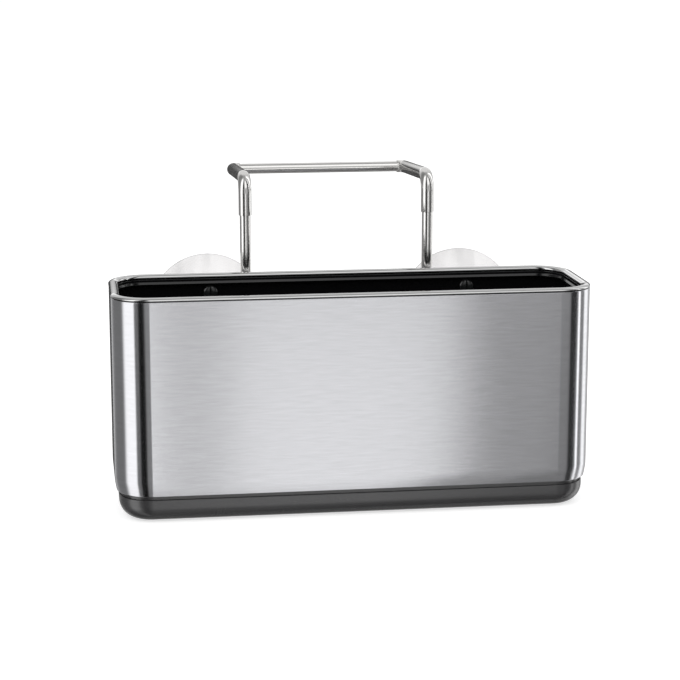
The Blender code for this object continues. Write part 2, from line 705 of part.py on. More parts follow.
def make_bushes(material):
    """Flanged bushes in the collars, flanges outward: up on the upper collar, down on the lower."""
    for side, sign in SIDES:
        for level, low, high in collar_levels():
            if level == "upper":
                outer_end, inner_end, step = high, low, 1
            else:
                outer_end, inner_end, step = low, high, -1
            flange = outer_end + step * CLEARANCE
            cap = flange + step * BUSH_FLANGE_THICKNESS
            profile = [(BUSH_INNER_RADIUS, cap), (BUSH_FLANGE_RADIUS, cap), (BUSH_FLANGE_RADIUS, flange),
                       (BUSH_RADIUS, flange), (BUSH_RADIUS, inner_end), (BUSH_INNER_RADIUS, inner_end)]
            finish_object(f"guide_bush_{level}_{side}", turned(profile, ROUND_SIDES, closed=True), material,
                          (sign * ROD_X, ROD_Y, 0.0))


def cup_profile():
    """Radius and height above the contact plane: hollow, contact ring, flared skirt, neck and knob."""
    inner = CUP_RADIUS - CUP_CONTACT_WIDTH
    profile = []
    for index in range(CUP_FLARE_STEPS):
        share = index / CUP_FLARE_STEPS
        profile.append((inner * share, CUP_HOLLOW * math.cos(share * math.pi / 2) ** CUP_HOLLOW_POWER))
    profile.append((inner, 0.0))
    profile.append((CUP_RADIUS, 0.0))
    for index in range(CUP_FLARE_STEPS + 1):
        share = index / CUP_FLARE_STEPS
        radius = CUP_RADIUS - (CUP_RADIUS - CUP_BODY_RADIUS) * share
        rise = math.sin(share * math.pi / 2) ** CUP_FLARE_POWER
        profile.append((radius, CUP_LIP + (CUP_BODY_DEPTH - CUP_LIP) * rise))
    neck_end = CUP_BODY_DEPTH + CUP_NECK_LENGTH
    knob_end = neck_end + CUP_KNOB_THICKNESS
    profile.append((CUP_NECK_RADIUS, CUP_BODY_DEPTH))
    profile.append((CUP_NECK_RADIUS, neck_end))
    profile.append((CUP_KNOB_RADIUS, neck_end))
    profile.append((CUP_KNOB_RADIUS, knob_end))
    profile.append((0.0, knob_end))
    return profile


def make_cups(material):
    """Clear cups, each with its origin on its own axis in the contact plane, mouth to the back."""
    profile = [(radius, -height) for radius, height in cup_profile()]
    for side, sign in SIDES:
        finish_object(f"suction_cup_{side}", turned(profile, CUP_SIDES, 'Y'), material,
                      (sign * CUP_X, CUP_PLANE_Y, CUP_Z))


def make_wire_loop(steel):
    """Two rods, two elbow tubes and the crossbar, all carried by one empty on the slide's axis."""
    carrier = bpy.data.objects.new("wire_loop", None)
    bpy.context.scene.collection.objects.link(carrier)
    up, back = Vector((0, 0, 1)), Vector((0, 1, 0))
    pieces = []
    for side, sign in SIDES:
        rod_foot = Vector((sign * ROD_X, ROD_Y, ROD_BOTTOM_Z))
        rod_top = Vector((sign * ROD_X, ROD_Y, ROD_TOP_Z))
        pieces.append(finish_object(f"guide_rod_{side}", wire([rod_foot, rod_top], ROD_RADIUS), steel))
        corner = Vector((sign * ROD_X, ROD_Y + TUBE_BEND_RADIUS, LOOP_Z - TUBE_BEND_RADIUS))
        path = [Vector((sign * ROD_X, ROD_Y, SLEEVE_END_Z))]
        path += bend(corner, -back, up, TUBE_BEND_RADIUS, QUARTER_TURN + ARM_DROOP)
        path += far_corner(sign)
        path.append(on_arms(sign * (ROD_X - CROSSBAR_BEND_RADIUS - TUBE_END_PAST_BEND)))
        pieces.append(finish_object(f"elbow_tube_{side}", pipe(path, TUBE_RADIUS, TUBE_WALL), steel))
    pieces.append(finish_object("faucet_crossbar", wire(crossbar_path(), ROD_RADIUS), steel))
    for piece in pieces:
        piece.parent = carrier
    return carrier


def on_arms(x, short=0.0):
    """A point in the arms' sloping plane, this far short of the crossbar's own axis."""
    return Vector((x, CROSSBAR_Y, CROSSBAR_Z)) - ARM_DIRECTION * short


def far_corner(sign):
    """Points of the bend from one arm into the crossbar."""
    radius = CROSSBAR_BEND_RADIUS
    centre = on_arms(sign * (ROD_X - radius), radius)
    return bend(centre, Vector((sign, 0, 0)), ARM_DIRECTION, radius)


def crossbar_path():
    """From inside the left arm, round its corner, across, and round into the right arm."""
    leg_end = CROSSBAR_BEND_RADIUS + CROSSBAR_LEG
    path = [on_arms(-ROD_X, leg_end)]
    path += far_corner(-1)
    path += reversed(far_corner(1))
    path.append(on_arms(ROD_X, leg_end))
    return path


def make_rod_stops(material, carrier):
    """Blind caps on the rods' lower ends, which meet the lower bushes at full height."""
    bore = ROD_RADIUS + CLEARANCE
    bottom = STOP_TOP_Z - STOP_HEIGHT
    bevel = STOP_FLOOR / 2
    profile = [(0.0, bottom), (STOP_RADIUS - bevel, bottom), (STOP_RADIUS, bottom + bevel),
               (STOP_RADIUS, STOP_TOP_Z), (bore, STOP_TOP_Z), (bore, bottom + STOP_FLOOR),
               (0.0, bottom + STOP_FLOOR)]
    for side, sign in SIDES:
        body = turned(profile, ROUND_SIDES)
        stop = finish_object(f"rod_stop_{side}", body, material, (sign * ROD_X, ROD_Y, 0.0))
        stop.parent = carrier


def build():
    """Make every piece."""
    clear_scene()
    make_band(principled("brushed_steel", (0.62, 0.62, 0.60), 0.34, 1.0))
    make_rim(principled("polished_steel", (0.80, 0.80, 0.79), 0.08, 1.0))
    make_liner(principled("gloss_black_plastic", (0.008, 0.008, 0.009), 0.12))
    make_base(principled("dark_grey_plastic", (0.060, 0.060, 0.062), 0.45))
    make_base_screws(principled("screw_steel", (0.55, 0.55, 0.56), 0.30, 1.0))
    bracket_plastic = principled("bracket_plastic", (0.020, 0.020, 0.021), 0.50)
    make_brackets(bracket_plastic)
    make_rivets(principled("rivet_plastic", (0.045, 0.047, 0.050), 0.35))
    make_bushes(principled("bush_plastic", (0.30, 0.30, 0.29), 0.55))
    make_cups(principled("clear_vinyl", (0.90, 0.88, 0.88), 0.12, 0.0, 0.35))
    carrier = make_wire_loop(principled("wire_steel", (0.66, 0.65, 0.62), 0.12, 1.0))
    make_rod_stops(bracket_plastic, carrier)


build()
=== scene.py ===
# %% [markdown]
# # Sink caddy: surfaces and finishes
#
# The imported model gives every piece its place. This script puts a finer surface in each place, gives it the
# finish of the real material, and sets a plain studio with a camera at the photograph's viewpoint.

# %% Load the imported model
import math

import bmesh
import bpy
import numpy as np
from mathutils import Matrix, Vector


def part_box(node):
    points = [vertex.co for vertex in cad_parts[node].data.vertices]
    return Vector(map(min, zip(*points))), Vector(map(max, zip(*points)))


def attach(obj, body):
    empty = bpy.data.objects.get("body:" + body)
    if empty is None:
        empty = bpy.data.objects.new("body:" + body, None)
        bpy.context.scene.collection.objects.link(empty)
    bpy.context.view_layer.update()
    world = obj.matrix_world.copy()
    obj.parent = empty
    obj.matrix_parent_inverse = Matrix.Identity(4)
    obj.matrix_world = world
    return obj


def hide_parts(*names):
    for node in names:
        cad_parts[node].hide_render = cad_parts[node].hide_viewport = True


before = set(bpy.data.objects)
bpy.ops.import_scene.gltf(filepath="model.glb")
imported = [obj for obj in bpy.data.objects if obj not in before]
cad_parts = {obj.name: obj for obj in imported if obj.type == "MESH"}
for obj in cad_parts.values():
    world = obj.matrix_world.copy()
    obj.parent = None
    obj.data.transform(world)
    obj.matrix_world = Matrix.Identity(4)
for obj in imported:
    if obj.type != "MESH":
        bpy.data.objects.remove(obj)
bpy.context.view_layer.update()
SIDES = (("left", -1), ("right", 1))

# %% [markdown]
# ## Surfaces from outlines and profiles
#
# Nearly everything here is made by carrying a profile round an outline. A bin wall, a moulded tray, a turned
# rivet and a suction cup differ only in the two. An outline is kept as arcs: each point is a centre plus a
# direction times the radius, so a smaller radius moves the whole outline inward, and every row of a surface
# comes from one array expression. Pressed steel and moulded plastic have no sharp corners, so each corner
# of a profile has a reach, over which it is rounded.


# %% Outlines
def arcs(radius, *parts):
    """Outline of arcs (centre x, centre y, start, end, steps) in degrees: centres, directions, radius."""
    centres, directions = [], []
    for centre_x, centre_y, start, end, steps in parts:
        angle = np.radians(np.linspace(start, end, steps + 1))
        centres.append(np.tile((centre_x, centre_y), (steps + 1, 1)))
        directions.append(np.stack((np.cos(angle), np.sin(angle)), axis=1))
    return np.concatenate(centres), np.concatenate(directions), radius


def rounded_rectangle(low, high, radius, steps):
    """A rectangle between two corners, with round corners."""
    (x0, y0), (x1, y1) = np.add(low, radius), np.subtract(high, radius)
    return arcs(radius, (x1, y1, 0, 90, steps), (x0, y1, 90, 180, steps),
                (x0, y0, 180, 270, steps), (x1, y0, 270, 360, steps))


# %% Profiles with rounded corners
CORNER_SMOOTH_STEPS = 5
EDGE_WEAR_RADIUS = 0.0004
HAIR, CRISP, SOFT, ROUND = 0.0001, 0.0002, 0.0003, 0.0006


def soften(corners, closed):
    """Round each (a, b, reach) corner of a profile by a quadratic curve that starts and ends reach away."""
    points = np.array([corner[:2] for corner in corners], float)
    share = np.linspace(0, 1, CORNER_SMOOTH_STEPS + 1)[:, None]
    rows = []
    for index, (_, _, reach) in enumerate(corners):
        here = points[index]
        at_end = not closed and index in (0, len(corners) - 1)
        if reach == 0 or at_end:
            rows.append(here[None])
            continue
        before = points[index - 1] - here
        after = points[(index + 1) % len(corners)] - here
        start = here + before / np.linalg.norm(before) * reach
        end = here + after / np.linalg.norm(after) * reach
        rows.append((1 - share) ** 2 * start + 2 * share * (1 - share) * here + share ** 2 * end)
    return np.concatenate(rows)


def bend_of_rows(rows, closed):
    """How sharply the profile turns at each row, from 0 on a flat to 1 on an edge of the wear radius."""
    before = rows - np.roll(rows, 1, axis=0)
    after = np.roll(rows, -1, axis=0) - rows
    lengths = np.linalg.norm(before, axis=1) + np.linalg.norm(after, axis=1)
    cross = before[:, 0] * after[:, 1] - before[:, 1] * after[:, 0]
    turn = np.abs(np.arctan2(cross, (before * after).sum(axis=1)))
    bend = np.clip(2 * turn / np.maximum(lengths, 1e-9) * EDGE_WEAR_RADIUS, 0, 1)
    if not closed:
        bend[[0, -1]] = 0
    return bend


# %% One skin over a grid of points
SHARP_ANGLE = math.radians(38)


def shown(name, data):
    """An object with this data, linked to the scene."""
    item = bpy.data.objects.new(name, data)
    bpy.context.scene.collection.objects.link(item)
    return item


def distances(points):
    """Distance of each point of a line from its start."""
    return np.concatenate(([0], np.cumsum(np.linalg.norm(np.diff(points, axis=0), axis=1))))


def skin(name, grid, rows, closed):
    """Object over a grid of points (row, column, xyz). Columns run round; rows run round too if closed,
    and otherwise each end gets a fan to its middle. Its UV map is in metres, round and along."""
    row_count, column_count = grid.shape[:2]
    spans = row_count if closed else row_count - 1
    row, column = np.meshgrid(np.arange(spans), np.arange(column_count), indexing="ij")
    next_row, next_column = (row + 1) % row_count, (column + 1) % column_count
    quads = np.stack((row * column_count + column, row * column_count + next_column,
                      next_row * column_count + next_column, next_row * column_count + column), axis=-1)
    faces = quads.reshape(-1, 4).tolist()
    vertices = grid.reshape(-1, 3)
    widest = np.linalg.norm(np.diff(np.concatenate((grid, grid[:, :1]), axis=1), axis=1), axis=2).max(axis=0)
    around = np.concatenate(([0], np.cumsum(widest)))
    along = distances(np.concatenate((rows, rows[:1])))
    uv = np.stack((np.stack((around[column], around[column + 1], around[column + 1], around[column]), -1),
                   np.stack((along[row], along[row], along[row + 1], along[row + 1]), -1)), -1)
    uv = uv.reshape(-1, 2)
    wear = np.repeat(bend_of_rows(rows, closed), column_count)
    if not closed:
        index = np.arange(column_count)
        for ring in (0, row_count - 1):
            middle = len(vertices)
            vertices = np.concatenate((vertices, grid[ring].mean(axis=0, keepdims=True)))
            wear = np.append(wear, 0.0)
            base = ring * column_count
            fan = np.stack((base + index, base + (index + 1) % column_count, np.full_like(index, middle)), 1)
            faces += (fan if ring else fan[:, ::-1]).tolist()
            uv = np.concatenate((uv, np.tile((0.0, along[ring]), (3 * column_count, 1))))
    mesh = bpy.data.meshes.new(name)
    mesh.from_pydata(vertices.tolist(), [], faces)
    mesh.uv_layers.new(name="metres").uv.foreach_set("vector", uv.astype(np.float32).ravel())
    mesh.attributes.new("wear", 'FLOAT', 'POINT').data.foreach_set("value", wear.astype(np.float32))
    item = shown(name, mesh)
    tidy(item)
    return item


def tidy(item):
    """Turn the faces outward, shade smooth and keep real edges crisp."""
    work = bmesh.new()
    work.from_mesh(item.data)
    bmesh.ops.recalc_face_normals(work, faces=work.faces)
    work.to_mesh(item.data)
    work.free()
    item.data.shade_smooth()
    item.data.set_sharp_from_angle(angle=SHARP_ANGLE)


# %% Profiles carried round outlines
TURNED_SIDES = 48


def carried(name, shape, profile, closed=False, axis="Z", at=(0.0, 0.0, 0.0)):
    """Carry a profile round an outline: each point is the outline's centre plus its direction times the
    radius less the row's inset, at the row's height along the axis."""
    centres, directions, radius = shape
    rows = soften(profile, closed)
    inset, height = rows[:, 0, None, None], rows[:, 1, None, None]
    flat = centres + directions * (radius - inset)
    level = np.broadcast_to(height, flat.shape[:2] + (1,))
    parts = (flat, level) if axis == "Z" else (flat[..., :1], level, flat[..., 1:])
    return skin(name, np.concatenate(parts, axis=2) + np.array(at), rows, closed)


def turned(name, profile, sides=TURNED_SIDES, axis="Z", at=(0.0, 0.0, 0.0), closed=False):
    """Turn a profile of (radius, height, reach) points about an axis."""
    point = arcs(0.0, (0.0, 0.0, 0.0, 360.0 - 360.0 / sides, sides - 1))
    insets = [(-radius, height, reach) for radius, height, reach in profile]
    return carried(name, point, insets, closed, axis, at)


# %% Cutting, joining and placing
OVERCUT = 0.001
AXIS_GAP = 0.0004
HOLE_SIDES = 32


def carve(target, tools, operation='DIFFERENCE'):
    """Apply one Boolean for each tool to the target, and remove the tools."""
    for tool in tools:
        modifier = target.modifiers.new("carve", 'BOOLEAN')
        modifier.operation = operation
        modifier.solver = 'EXACT'
        modifier.object = tool
    bpy.context.view_layer.update()
    evaluated = target.evaluated_get(bpy.context.evaluated_depsgraph_get())
    old = target.data
    target.modifiers.clear()
    target.data = bpy.data.meshes.new_from_object(evaluated)
    bpy.data.meshes.remove(old)
    for tool in tools:
        bpy.data.objects.remove(tool, do_unlink=True)
    tidy(target)


def place(item, body, node, finish):
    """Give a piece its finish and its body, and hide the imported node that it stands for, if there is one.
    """
    item.data.materials.clear()
    item.data.materials.append(finish)
    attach(item, body)
    if node:
        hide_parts(node)
    box = [f"{1000 * side:.1f}" for side in item.dimensions]
    print(f"{item.name}: {' x '.join(box)} mm, {len(item.data.polygons)} faces")


# %% [markdown]
# ## Shader maths as expressions
#
# A finish is mostly small sums: grain plus smudges, times a mask. One class wraps a shader socket so that
# such sums can be written as they are thought, and one method adds every other node.


# %% Shader expressions
class Signal:
    """One output of a shader node. Arithmetic on it adds Math nodes."""

    def __init__(self, graph, output):
        self.graph = graph
        self.output = output

    def _math(self, operation, first, second):
        return self.graph.node('ShaderNodeMath', {"operation": operation}, {0: first, 1: second})

    def __add__(self, other):
        return self._math('ADD', self, other)

    def __sub__(self, other):
        return self._math('SUBTRACT', self, other)

    def __rsub__(self, other):
        return self._math('SUBTRACT', other, self)

    def __mul__(self, other):
        return self._math('MULTIPLY', self, other)

    __radd__ = __add__
    __rmul__ = __mul__


# %% Node trees
class Graph:
    """The node tree of a material or world, emptied and then built up by calls."""

    def __init__(self, owner):
        owner.use_nodes = True
        self.tree = owner.node_tree
        self.tree.nodes.clear()

    def node(self, kind, settings=None, sockets=None, out=0):
        """Add a node: its settings first, then values or signals for its sockets."""
        item = self.tree.nodes.new(kind)
        for key, value in (settings or {}).items():
            if key == "stops":
                for element, (position, level) in zip(item.color_ramp.elements, value):
                    element.position = position
                    element.color = (level, level, level, 1.0)
            else:
                setattr(item, key, value)
        for key, value in (sockets or {}).items():
            if isinstance(value, Signal):
                self.tree.links.new(value.output, item.inputs[key])
            else:
                item.inputs[key].default_value = value
        return Signal(self, item.outputs[out]) if item.outputs else None

    def ramp(self, value, first, last):
        """Value through a ramp between two (position, level) stops."""
        return self.node('ShaderNodeValToRGB', {"stops": (first, last)}, {"Fac": value})

    def bump(self, height, distance, strength):
        """Surface normal that follows a height, in metres at height 1."""
        return self.node('ShaderNodeBump', None,
                         {"Height": height, "Distance": distance, "Strength": strength})


# %% Finishes
class Finish(Graph):
    """A material with one Principled shader."""

    def __init__(self, name):
        self.material = bpy.data.materials.new(name)
        super().__init__(self.material)
        self.place = self.node('ShaderNodeTexCoord', out="Object")
        self.wear = self.node('ShaderNodeAttribute', {"attribute_name": "wear"}, out="Fac")

    def noise(self, scale, detail=2.0, roughness=0.5, source=None):
        """Smooth random value, about 0.5, on the piece's own coordinates or a given source."""
        return self.node('ShaderNodeTexNoise', {"noise_dimensions": '3D'},
                         {"Vector": source or self.place, "Scale": scale, "Detail": detail,
                          "Roughness": roughness})

    def streaks(self, scales, detail=2.0, roughness=0.5, source=None):
        """Noise on coordinates multiplied by a vector, so that it is longer one way."""
        stretched = self.node('ShaderNodeVectorMath', {"operation": 'MULTIPLY'},
                              {0: source or self.place, 1: scales})
        return self.noise(1.0, detail, roughness, stretched)

    def shade(self, factor, dark, light, **sockets):
        """Finish the material: a mix of two colours, then other sockets, with underscores for spaces. The
        mix node's socket names repeat, so its colour sockets go by number."""
        colour = self.node('ShaderNodeMix', {"data_type": 'RGBA'},
                           {0: factor, 6: (*dark, 1.0), 7: (*light, 1.0)}, out=2)
        named = {key.replace("_", " "): value for key, value in sockets.items()}
        shader = self.node('ShaderNodeBsdfPrincipled', None, {"Base Color": colour, **named})
        self.node('ShaderNodeOutputMaterial', None, {"Surface": shader})
        return self.material


# %% [markdown]
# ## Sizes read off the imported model
#
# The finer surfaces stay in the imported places, so the main sizes are read from the boxes of its nodes. The
# small ones, which no box shows, are written where they are first needed.

# %% Sizes
band_low, band_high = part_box("outer_band")
rim_low, rim_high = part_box("rim_trim")
liner_low, liner_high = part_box("liner")
base_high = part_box("base_tray")[1]
CORNER_RADIUS = 0.0191
CORNER_STEPS = 28
CLEARANCE = 0.0003
HALF_X, HALF_Y = rim_high.x, rim_high.y
ENVELOPE = rounded_rectangle((-HALF_X, -HALF_Y), (HALF_X, HALF_Y), CORNER_RADIUS, CORNER_STEPS)
BAND_INSET, LINER_INSET, BASE_INSET = (HALF_X - high.x for high in (band_high, liner_high, base_high))
print(f"insets: band {BAND_INSET:.4f}, liner {LINER_INSET:.4f}, base {BASE_INSET:.4f} m")


def middle(box):
    """Middle of a box, given by two corners."""
    return [(low + high) / 2 for low, high in zip(*box)]


# %% [markdown]
# ## The steel band
#
# The band is one strip of stainless steel, brushed lengthwise and wrapped round the bin. The fine level
# scratches spread a reflection up and down but hardly sideways, so the round corners show upright light and
# dark stripes with clean edges. An anisotropic shader does that. Stretched noise adds the scratches that the
# eye can still pick out and faint smudges, and the edges are a little smoother from handling.


# %% Brushed band
STEEL_TONES = (0.590, 0.592, 0.612), (0.705, 0.706, 0.732)
FINE_BRUSH, COARSE_BRUSH, SCRATCHES = (110.0, 5200.0, 1.0), (70.0, 900.0, 1.0), (90.0, 2600.0, 1.0)


def brushed_steel():
    """Satin steel with level brushing, read from the band's own map in metres."""
    steel = Finish("brushed_steel")
    chart = steel.node('ShaderNodeUVMap', {"uv_map": "metres"})
    fine = steel.streaks(FINE_BRUSH, 3.0, 0.6, chart)
    coarse = steel.streaks(COARSE_BRUSH, 2.0, 0.5, chart)
    scratches = steel.ramp(steel.streaks(SCRATCHES, source=chart), (0.66, 0.0), (0.76, 1.0))
    smudges = steel.noise(26.0, 3.0, 0.55)
    grain = fine * 0.6 + coarse * 0.4
    tone = steel.ramp(grain + smudges * 0.10, (0.35, 0.0), (0.80, 1.0))
    height = grain + scratches * 0.5
    return steel.shade(
        tone, *STEEL_TONES,
        Metallic=1.0,
        Roughness=0.165 + grain * 0.04 + smudges * 0.02 - steel.wear * 0.04,
        Anisotropic=1.0, Anisotropic_Rotation=0.25,
        Normal=steel.bump(height, 0.000012, 0.5))


BAND_WALL = 0.0008
BAND_ROLL_HEIGHT = 0.0080
BAND_ROLL_IN = 0.0010
SEAM_LOW, SEAM_HIGH = 0.0001, 0.0007
ROLL_STEPS = 14

share = np.linspace(0, 1, ROLL_STEPS + 1)
roll = np.stack((BAND_INSET + BAND_ROLL_IN * (1 - np.cos(share * math.pi / 2)),
                 band_low.z + BAND_ROLL_HEIGHT * (1 - share)), axis=1)
outside = [(a, z, 0.0) for a, z in roll[:-1]]
inside = [(a + BAND_WALL, z, 0.0) for a, z in roll[-2::-1]]
foot_inset = BAND_INSET + BAND_ROLL_IN
band_top = rim_low.z + SEAM_LOW
band_profile = ([(BAND_INSET, band_top, SOFT)] + outside
                + [(foot_inset, band_low.z, SOFT), (foot_inset + BAND_WALL, band_low.z, SOFT)]
                + inside + [(BAND_INSET + BAND_WALL, band_top, SOFT)])
band = carried("steel_band", ENVELOPE, band_profile, closed=True)
place(band, "caddy", "outer_band", brushed_steel())

# %% [markdown]
# ## The rim
#
# A low half-round bead of polished steel covers the raw top edges. Buffing leaves soft waves and hairlines
# that only show as a slight wander in the reflection, so its roughness is low and its bump very shallow.


# %% Polished rim
POLISH_HAIRLINES = (900.0, 900.0, 2400.0)


def polished_steel(name, low, high, roughness, ripple):
    """Bright steel: buffed hairlines, faint haze, and a slight waviness in the surface."""
    steel = Finish(name)
    haze = steel.noise(60.0, 3.0, 0.6)
    hairlines = steel.streaks(POLISH_HAIRLINES, 2.0, 0.6)
    waves = steel.noise(110.0, 1.0, 0.4)
    return steel.shade(
        haze, low, high,
        Metallic=1.0,
        Roughness=roughness + haze * 0.06 + hairlines * 0.04 + steel.wear * 0.05,
        Normal=steel.bump(waves * 0.8 + hairlines * 0.2, ripple, 0.6))


RIM_WIDTH = 0.0048
RIM_CROWN_STEPS = 24
rim_foot = rim_low.z + SEAM_HIGH
crown = np.linspace(0, math.pi, RIM_CROWN_STEPS + 1)
crown_rows = np.stack((RIM_WIDTH / 2 * (1 - np.cos(crown)),
                       rim_foot + (rim_high.z - rim_foot) * np.sin(crown)), axis=1)
rim_profile = [(a, z, 0.0) for a, z in crown_rows]
rim_profile[0] = (*rim_profile[0][:2], SOFT)
rim = carried("rim_bead", ENVELOPE, rim_profile, closed=True)
place(rim, "caddy", "rim_trim",
      polished_steel("rim_steel", (0.58, 0.58, 0.58), (0.68, 0.68, 0.68), 0.03, 0.00002))

# %% [markdown]
# ## The liner
#
# A glossy black bucket stands inside the band, and a thin flange turns in at its top. It is injection moulded
# in a polished tool, so it mirrors well, with the slight waviness of a moulded wall, light scuffs from what
# has stood in it, and a dulled edge at the flange. Its floor has eight drain slots, each with a soft lip,
# and four pads that take the screws from below.


# %% Places that several pieces share
DRAIN_LENGTH = 0.0240
DRAIN_WIDTH = 0.0032
DRAIN_PITCH = 0.0360
DRAIN_SETBACK = 0.0225
DRAIN_Y = HALF_Y - DRAIN_SETBACK
DRAIN_LIP = 0.0005
DRAIN_COLUMNS = (-1.5, -0.5, 0.5, 1.5)
DRAIN_END_STEPS = 12
SCREW_SHANK = 0.0015
SCREW_HOLE = SCREW_SHANK + CLEARANCE
RIVET_SHANK = 0.0018
RIVET_HOLE = RIVET_SHANK + CLEARANCE
screw_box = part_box("base_screw_back_right")
screw_low, screw_high = (corner.z for corner in screw_box)
SCREW_X, SCREW_Y, _ = middle(screw_box)
SCREWS = [(f"{row}_{side}", (sign * SCREW_X, end * SCREW_Y, 0.0))
          for row, end in (("front", -1), ("back", 1)) for side, sign in SIDES]
cup_low, cup_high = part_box("suction_cup_right")
CUP_RADIUS = (cup_high.x - cup_low.x) / 2
CUP_X, _, CUP_Z = middle((cup_low, cup_high))
RIVETS = [(f"{level}_{side}", (sign * CUP_X, 0.0, middle(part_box(f"bracket_rivet_{level}_{side}"))[2]))
          for side, sign in SIDES for level in ("upper", "lower")]
print("screws:", len(SCREWS), "| rivets:", len(RIVETS))


def drain_tools(low, high):
    """Cutters for the slots between two faces, flared where they meet each face."""
    half, reach = DRAIN_WIDTH / 2, (DRAIN_LENGTH - DRAIN_WIDTH) / 2
    profile = [(-DRAIN_LIP - OVERCUT, low - OVERCUT, 0.0), (0.0, low + DRAIN_LIP, DRAIN_LIP / 2),
               (0.0, high - DRAIN_LIP, DRAIN_LIP / 2), (-DRAIN_LIP - OVERCUT, high + OVERCUT, 0.0)]
    shape = arcs(half, (reach, 0, -90, 90, DRAIN_END_STEPS), (-reach, 0, 90, 270, DRAIN_END_STEPS))
    return [carried("slot_tool", shape, profile, at=(column * DRAIN_PITCH, y, 0.0))
            for column in DRAIN_COLUMNS for y in (-DRAIN_Y, DRAIN_Y)]


def rivet_tools(low, high, side=""):
    """Cutters for the rivets' holes through a wall between two faces, at one side or both."""
    profile = [(RIVET_HOLE, low - OVERCUT, 0.0), (RIVET_HOLE, high + OVERCUT, 0.0)]
    return [turned("rivet_tool", profile, HOLE_SIDES, "Y", spot)
            for name, spot in RIVETS if name.endswith(side)]


def at_screws(name, profile, sides=TURNED_SIDES):
    """One turned piece or cutter at each screw."""
    return [turned(name, profile, sides, at=spot) for _, spot in SCREWS]


# %% Gloss black liner
BLACK_TONES = (0.0035, 0.0035, 0.0040), (0.016, 0.016, 0.017)
SCUFFS = (60.0, 60.0, 340.0)


def gloss_black():
    """Glossy moulded black with a wavy wall, fine scuffs and dulled edges."""
    plastic = Finish("gloss_black")
    waves = plastic.noise(45.0, 1.0, 0.4)
    scuffs = plastic.ramp(plastic.streaks(SCUFFS, 4.0, 0.7), (0.62, 0.0), (0.80, 1.0))
    dust = plastic.noise(900.0, 2.0, 0.7)
    return plastic.shade(
        plastic.wear * 0.5 + dust * 0.25, *BLACK_TONES,
        Roughness=0.09 + scuffs * 0.16 + dust * 0.05 + plastic.wear * 0.10,
        Normal=plastic.bump(waves + scuffs * 0.05, 0.00006, 0.5))


LINER_WALL = 0.0016
LINER_FLOOR = 0.0020
LINER_FOOT = 0.0035
FLANGE_WIDTH = 0.0016
FLANGE_DROP = 0.0015
LIP_REACH = 0.0009
LIP_DROP = 0.0011
LIP_UNDER = 0.0008
PAD_RADIUS = 0.0046
PAD_TOP = 0.0293
PAD_BEVEL = 0.0012
PAD_MIDDLE = 0.0005
liner_inside = LINER_INSET + LINER_WALL
flange = liner_inside + FLANGE_WIDTH
lip_z = liner_high.z - FLANGE_DROP - LIP_DROP
floor_z = liner_low.z + LINER_FLOOR
liner_profile = [
    (LINER_INSET + LINER_FOOT, liner_low.z, 0.0),
    (LINER_INSET, liner_low.z, LINER_FOOT * 0.9),
    (LINER_INSET, liner_high.z, CRISP),
    (flange, liner_high.z, SOFT),
    (flange, liner_high.z - FLANGE_DROP, CRISP),
    (flange + LIP_REACH, lip_z, SOFT),
    (liner_inside, lip_z - LIP_UNDER, SOFT),
    (liner_inside, floor_z, LINER_FOOT),
    (liner_inside + LINER_FOOT * 1.4, floor_z, 0.0)]
liner = carried("black_liner", ENVELOPE, liner_profile)
pad_profile = [(PAD_RADIUS, floor_z - LINER_FLOOR / 2, 0.0), (PAD_RADIUS, PAD_TOP, PAD_BEVEL),
               (PAD_MIDDLE, PAD_TOP, 0.0)]
carve(liner, at_screws("pad", pad_profile), 'UNION')
bore = [(SCREW_HOLE, liner_low.z - OVERCUT, 0.0), (SCREW_HOLE, screw_high + CLEARANCE, 0.0)]
carve(liner, at_screws("bore", bore, HOLE_SIDES) + drain_tools(liner_low.z, floor_z)
      + rivet_tools(liner_high.y - LINER_WALL, liner_high.y))
liner_finish = gloss_black()
place(liner, "caddy", "liner", liner_finish)

# %% [markdown]
# ## The shadow strip under the rim
#
# A thin black strip fills the gap between band and rim, set back from the rim's edge. It is painted
# shade: a dark sheet where only the gap's shadow falls, which keeps the line under the rim dark from every
# side. It stands for no imported node.

# %% Black strip of painted shade under the rim
SHADOW_STRIP_INSET = 0.0004
shadow_strip_inner = RIM_WIDTH - SHADOW_STRIP_INSET
shadow_strip_profile = [(SHADOW_STRIP_INSET, band_top, HAIR), (SHADOW_STRIP_INSET, rim_foot, HAIR),
                (shadow_strip_inner, rim_foot, HAIR), (shadow_strip_inner, band_top, HAIR)]
# Painted shade: a black strip where only the shadow of the gap under the rim falls.
shadow_strip = carried("rim_shadow_strip", ENVELOPE, shadow_strip_profile, closed=True)
place(shadow_strip, "caddy", None, liner_finish)

# %% [markdown]
# ## The base
#
# The moulded base carries everything. Its lower edge is one large round, and the groove above its shoulder
# leaves a dark shadow line under the steel. Its plastic has a fine even matt grain, which rubbing on a
# counter has polished a little at the edges.


# %% Matt grey base
FLOW_MARKS = (18.0, 18.0, 60.0)


def moulded(name, dark, light, roughness, grain_scale=2600.0, grain_depth=0.000020, shine=0.5):
    """Matt moulded plastic: a fine even grain, soft flow marks, and edges rubbed smoother and paler."""
    plastic = Finish(name)
    grain = plastic.noise(grain_scale, 3.0, 0.65)
    flow = plastic.streaks(FLOW_MARKS, 2.0, 0.5)
    specks = plastic.ramp(plastic.noise(1500.0, 1.0, 0.5), (0.70, 0.0), (0.78, 1.0))
    return plastic.shade(
        grain * 0.35 + flow * 0.35 + plastic.wear * 0.3 + specks * 0.15, dark, light,
        Roughness=roughness + grain * 0.10 - flow * 0.06 - plastic.wear * 0.12,
        Specular_IOR_Level=shine,
        Normal=plastic.bump(grain + flow * 0.2, grain_depth, 0.6))


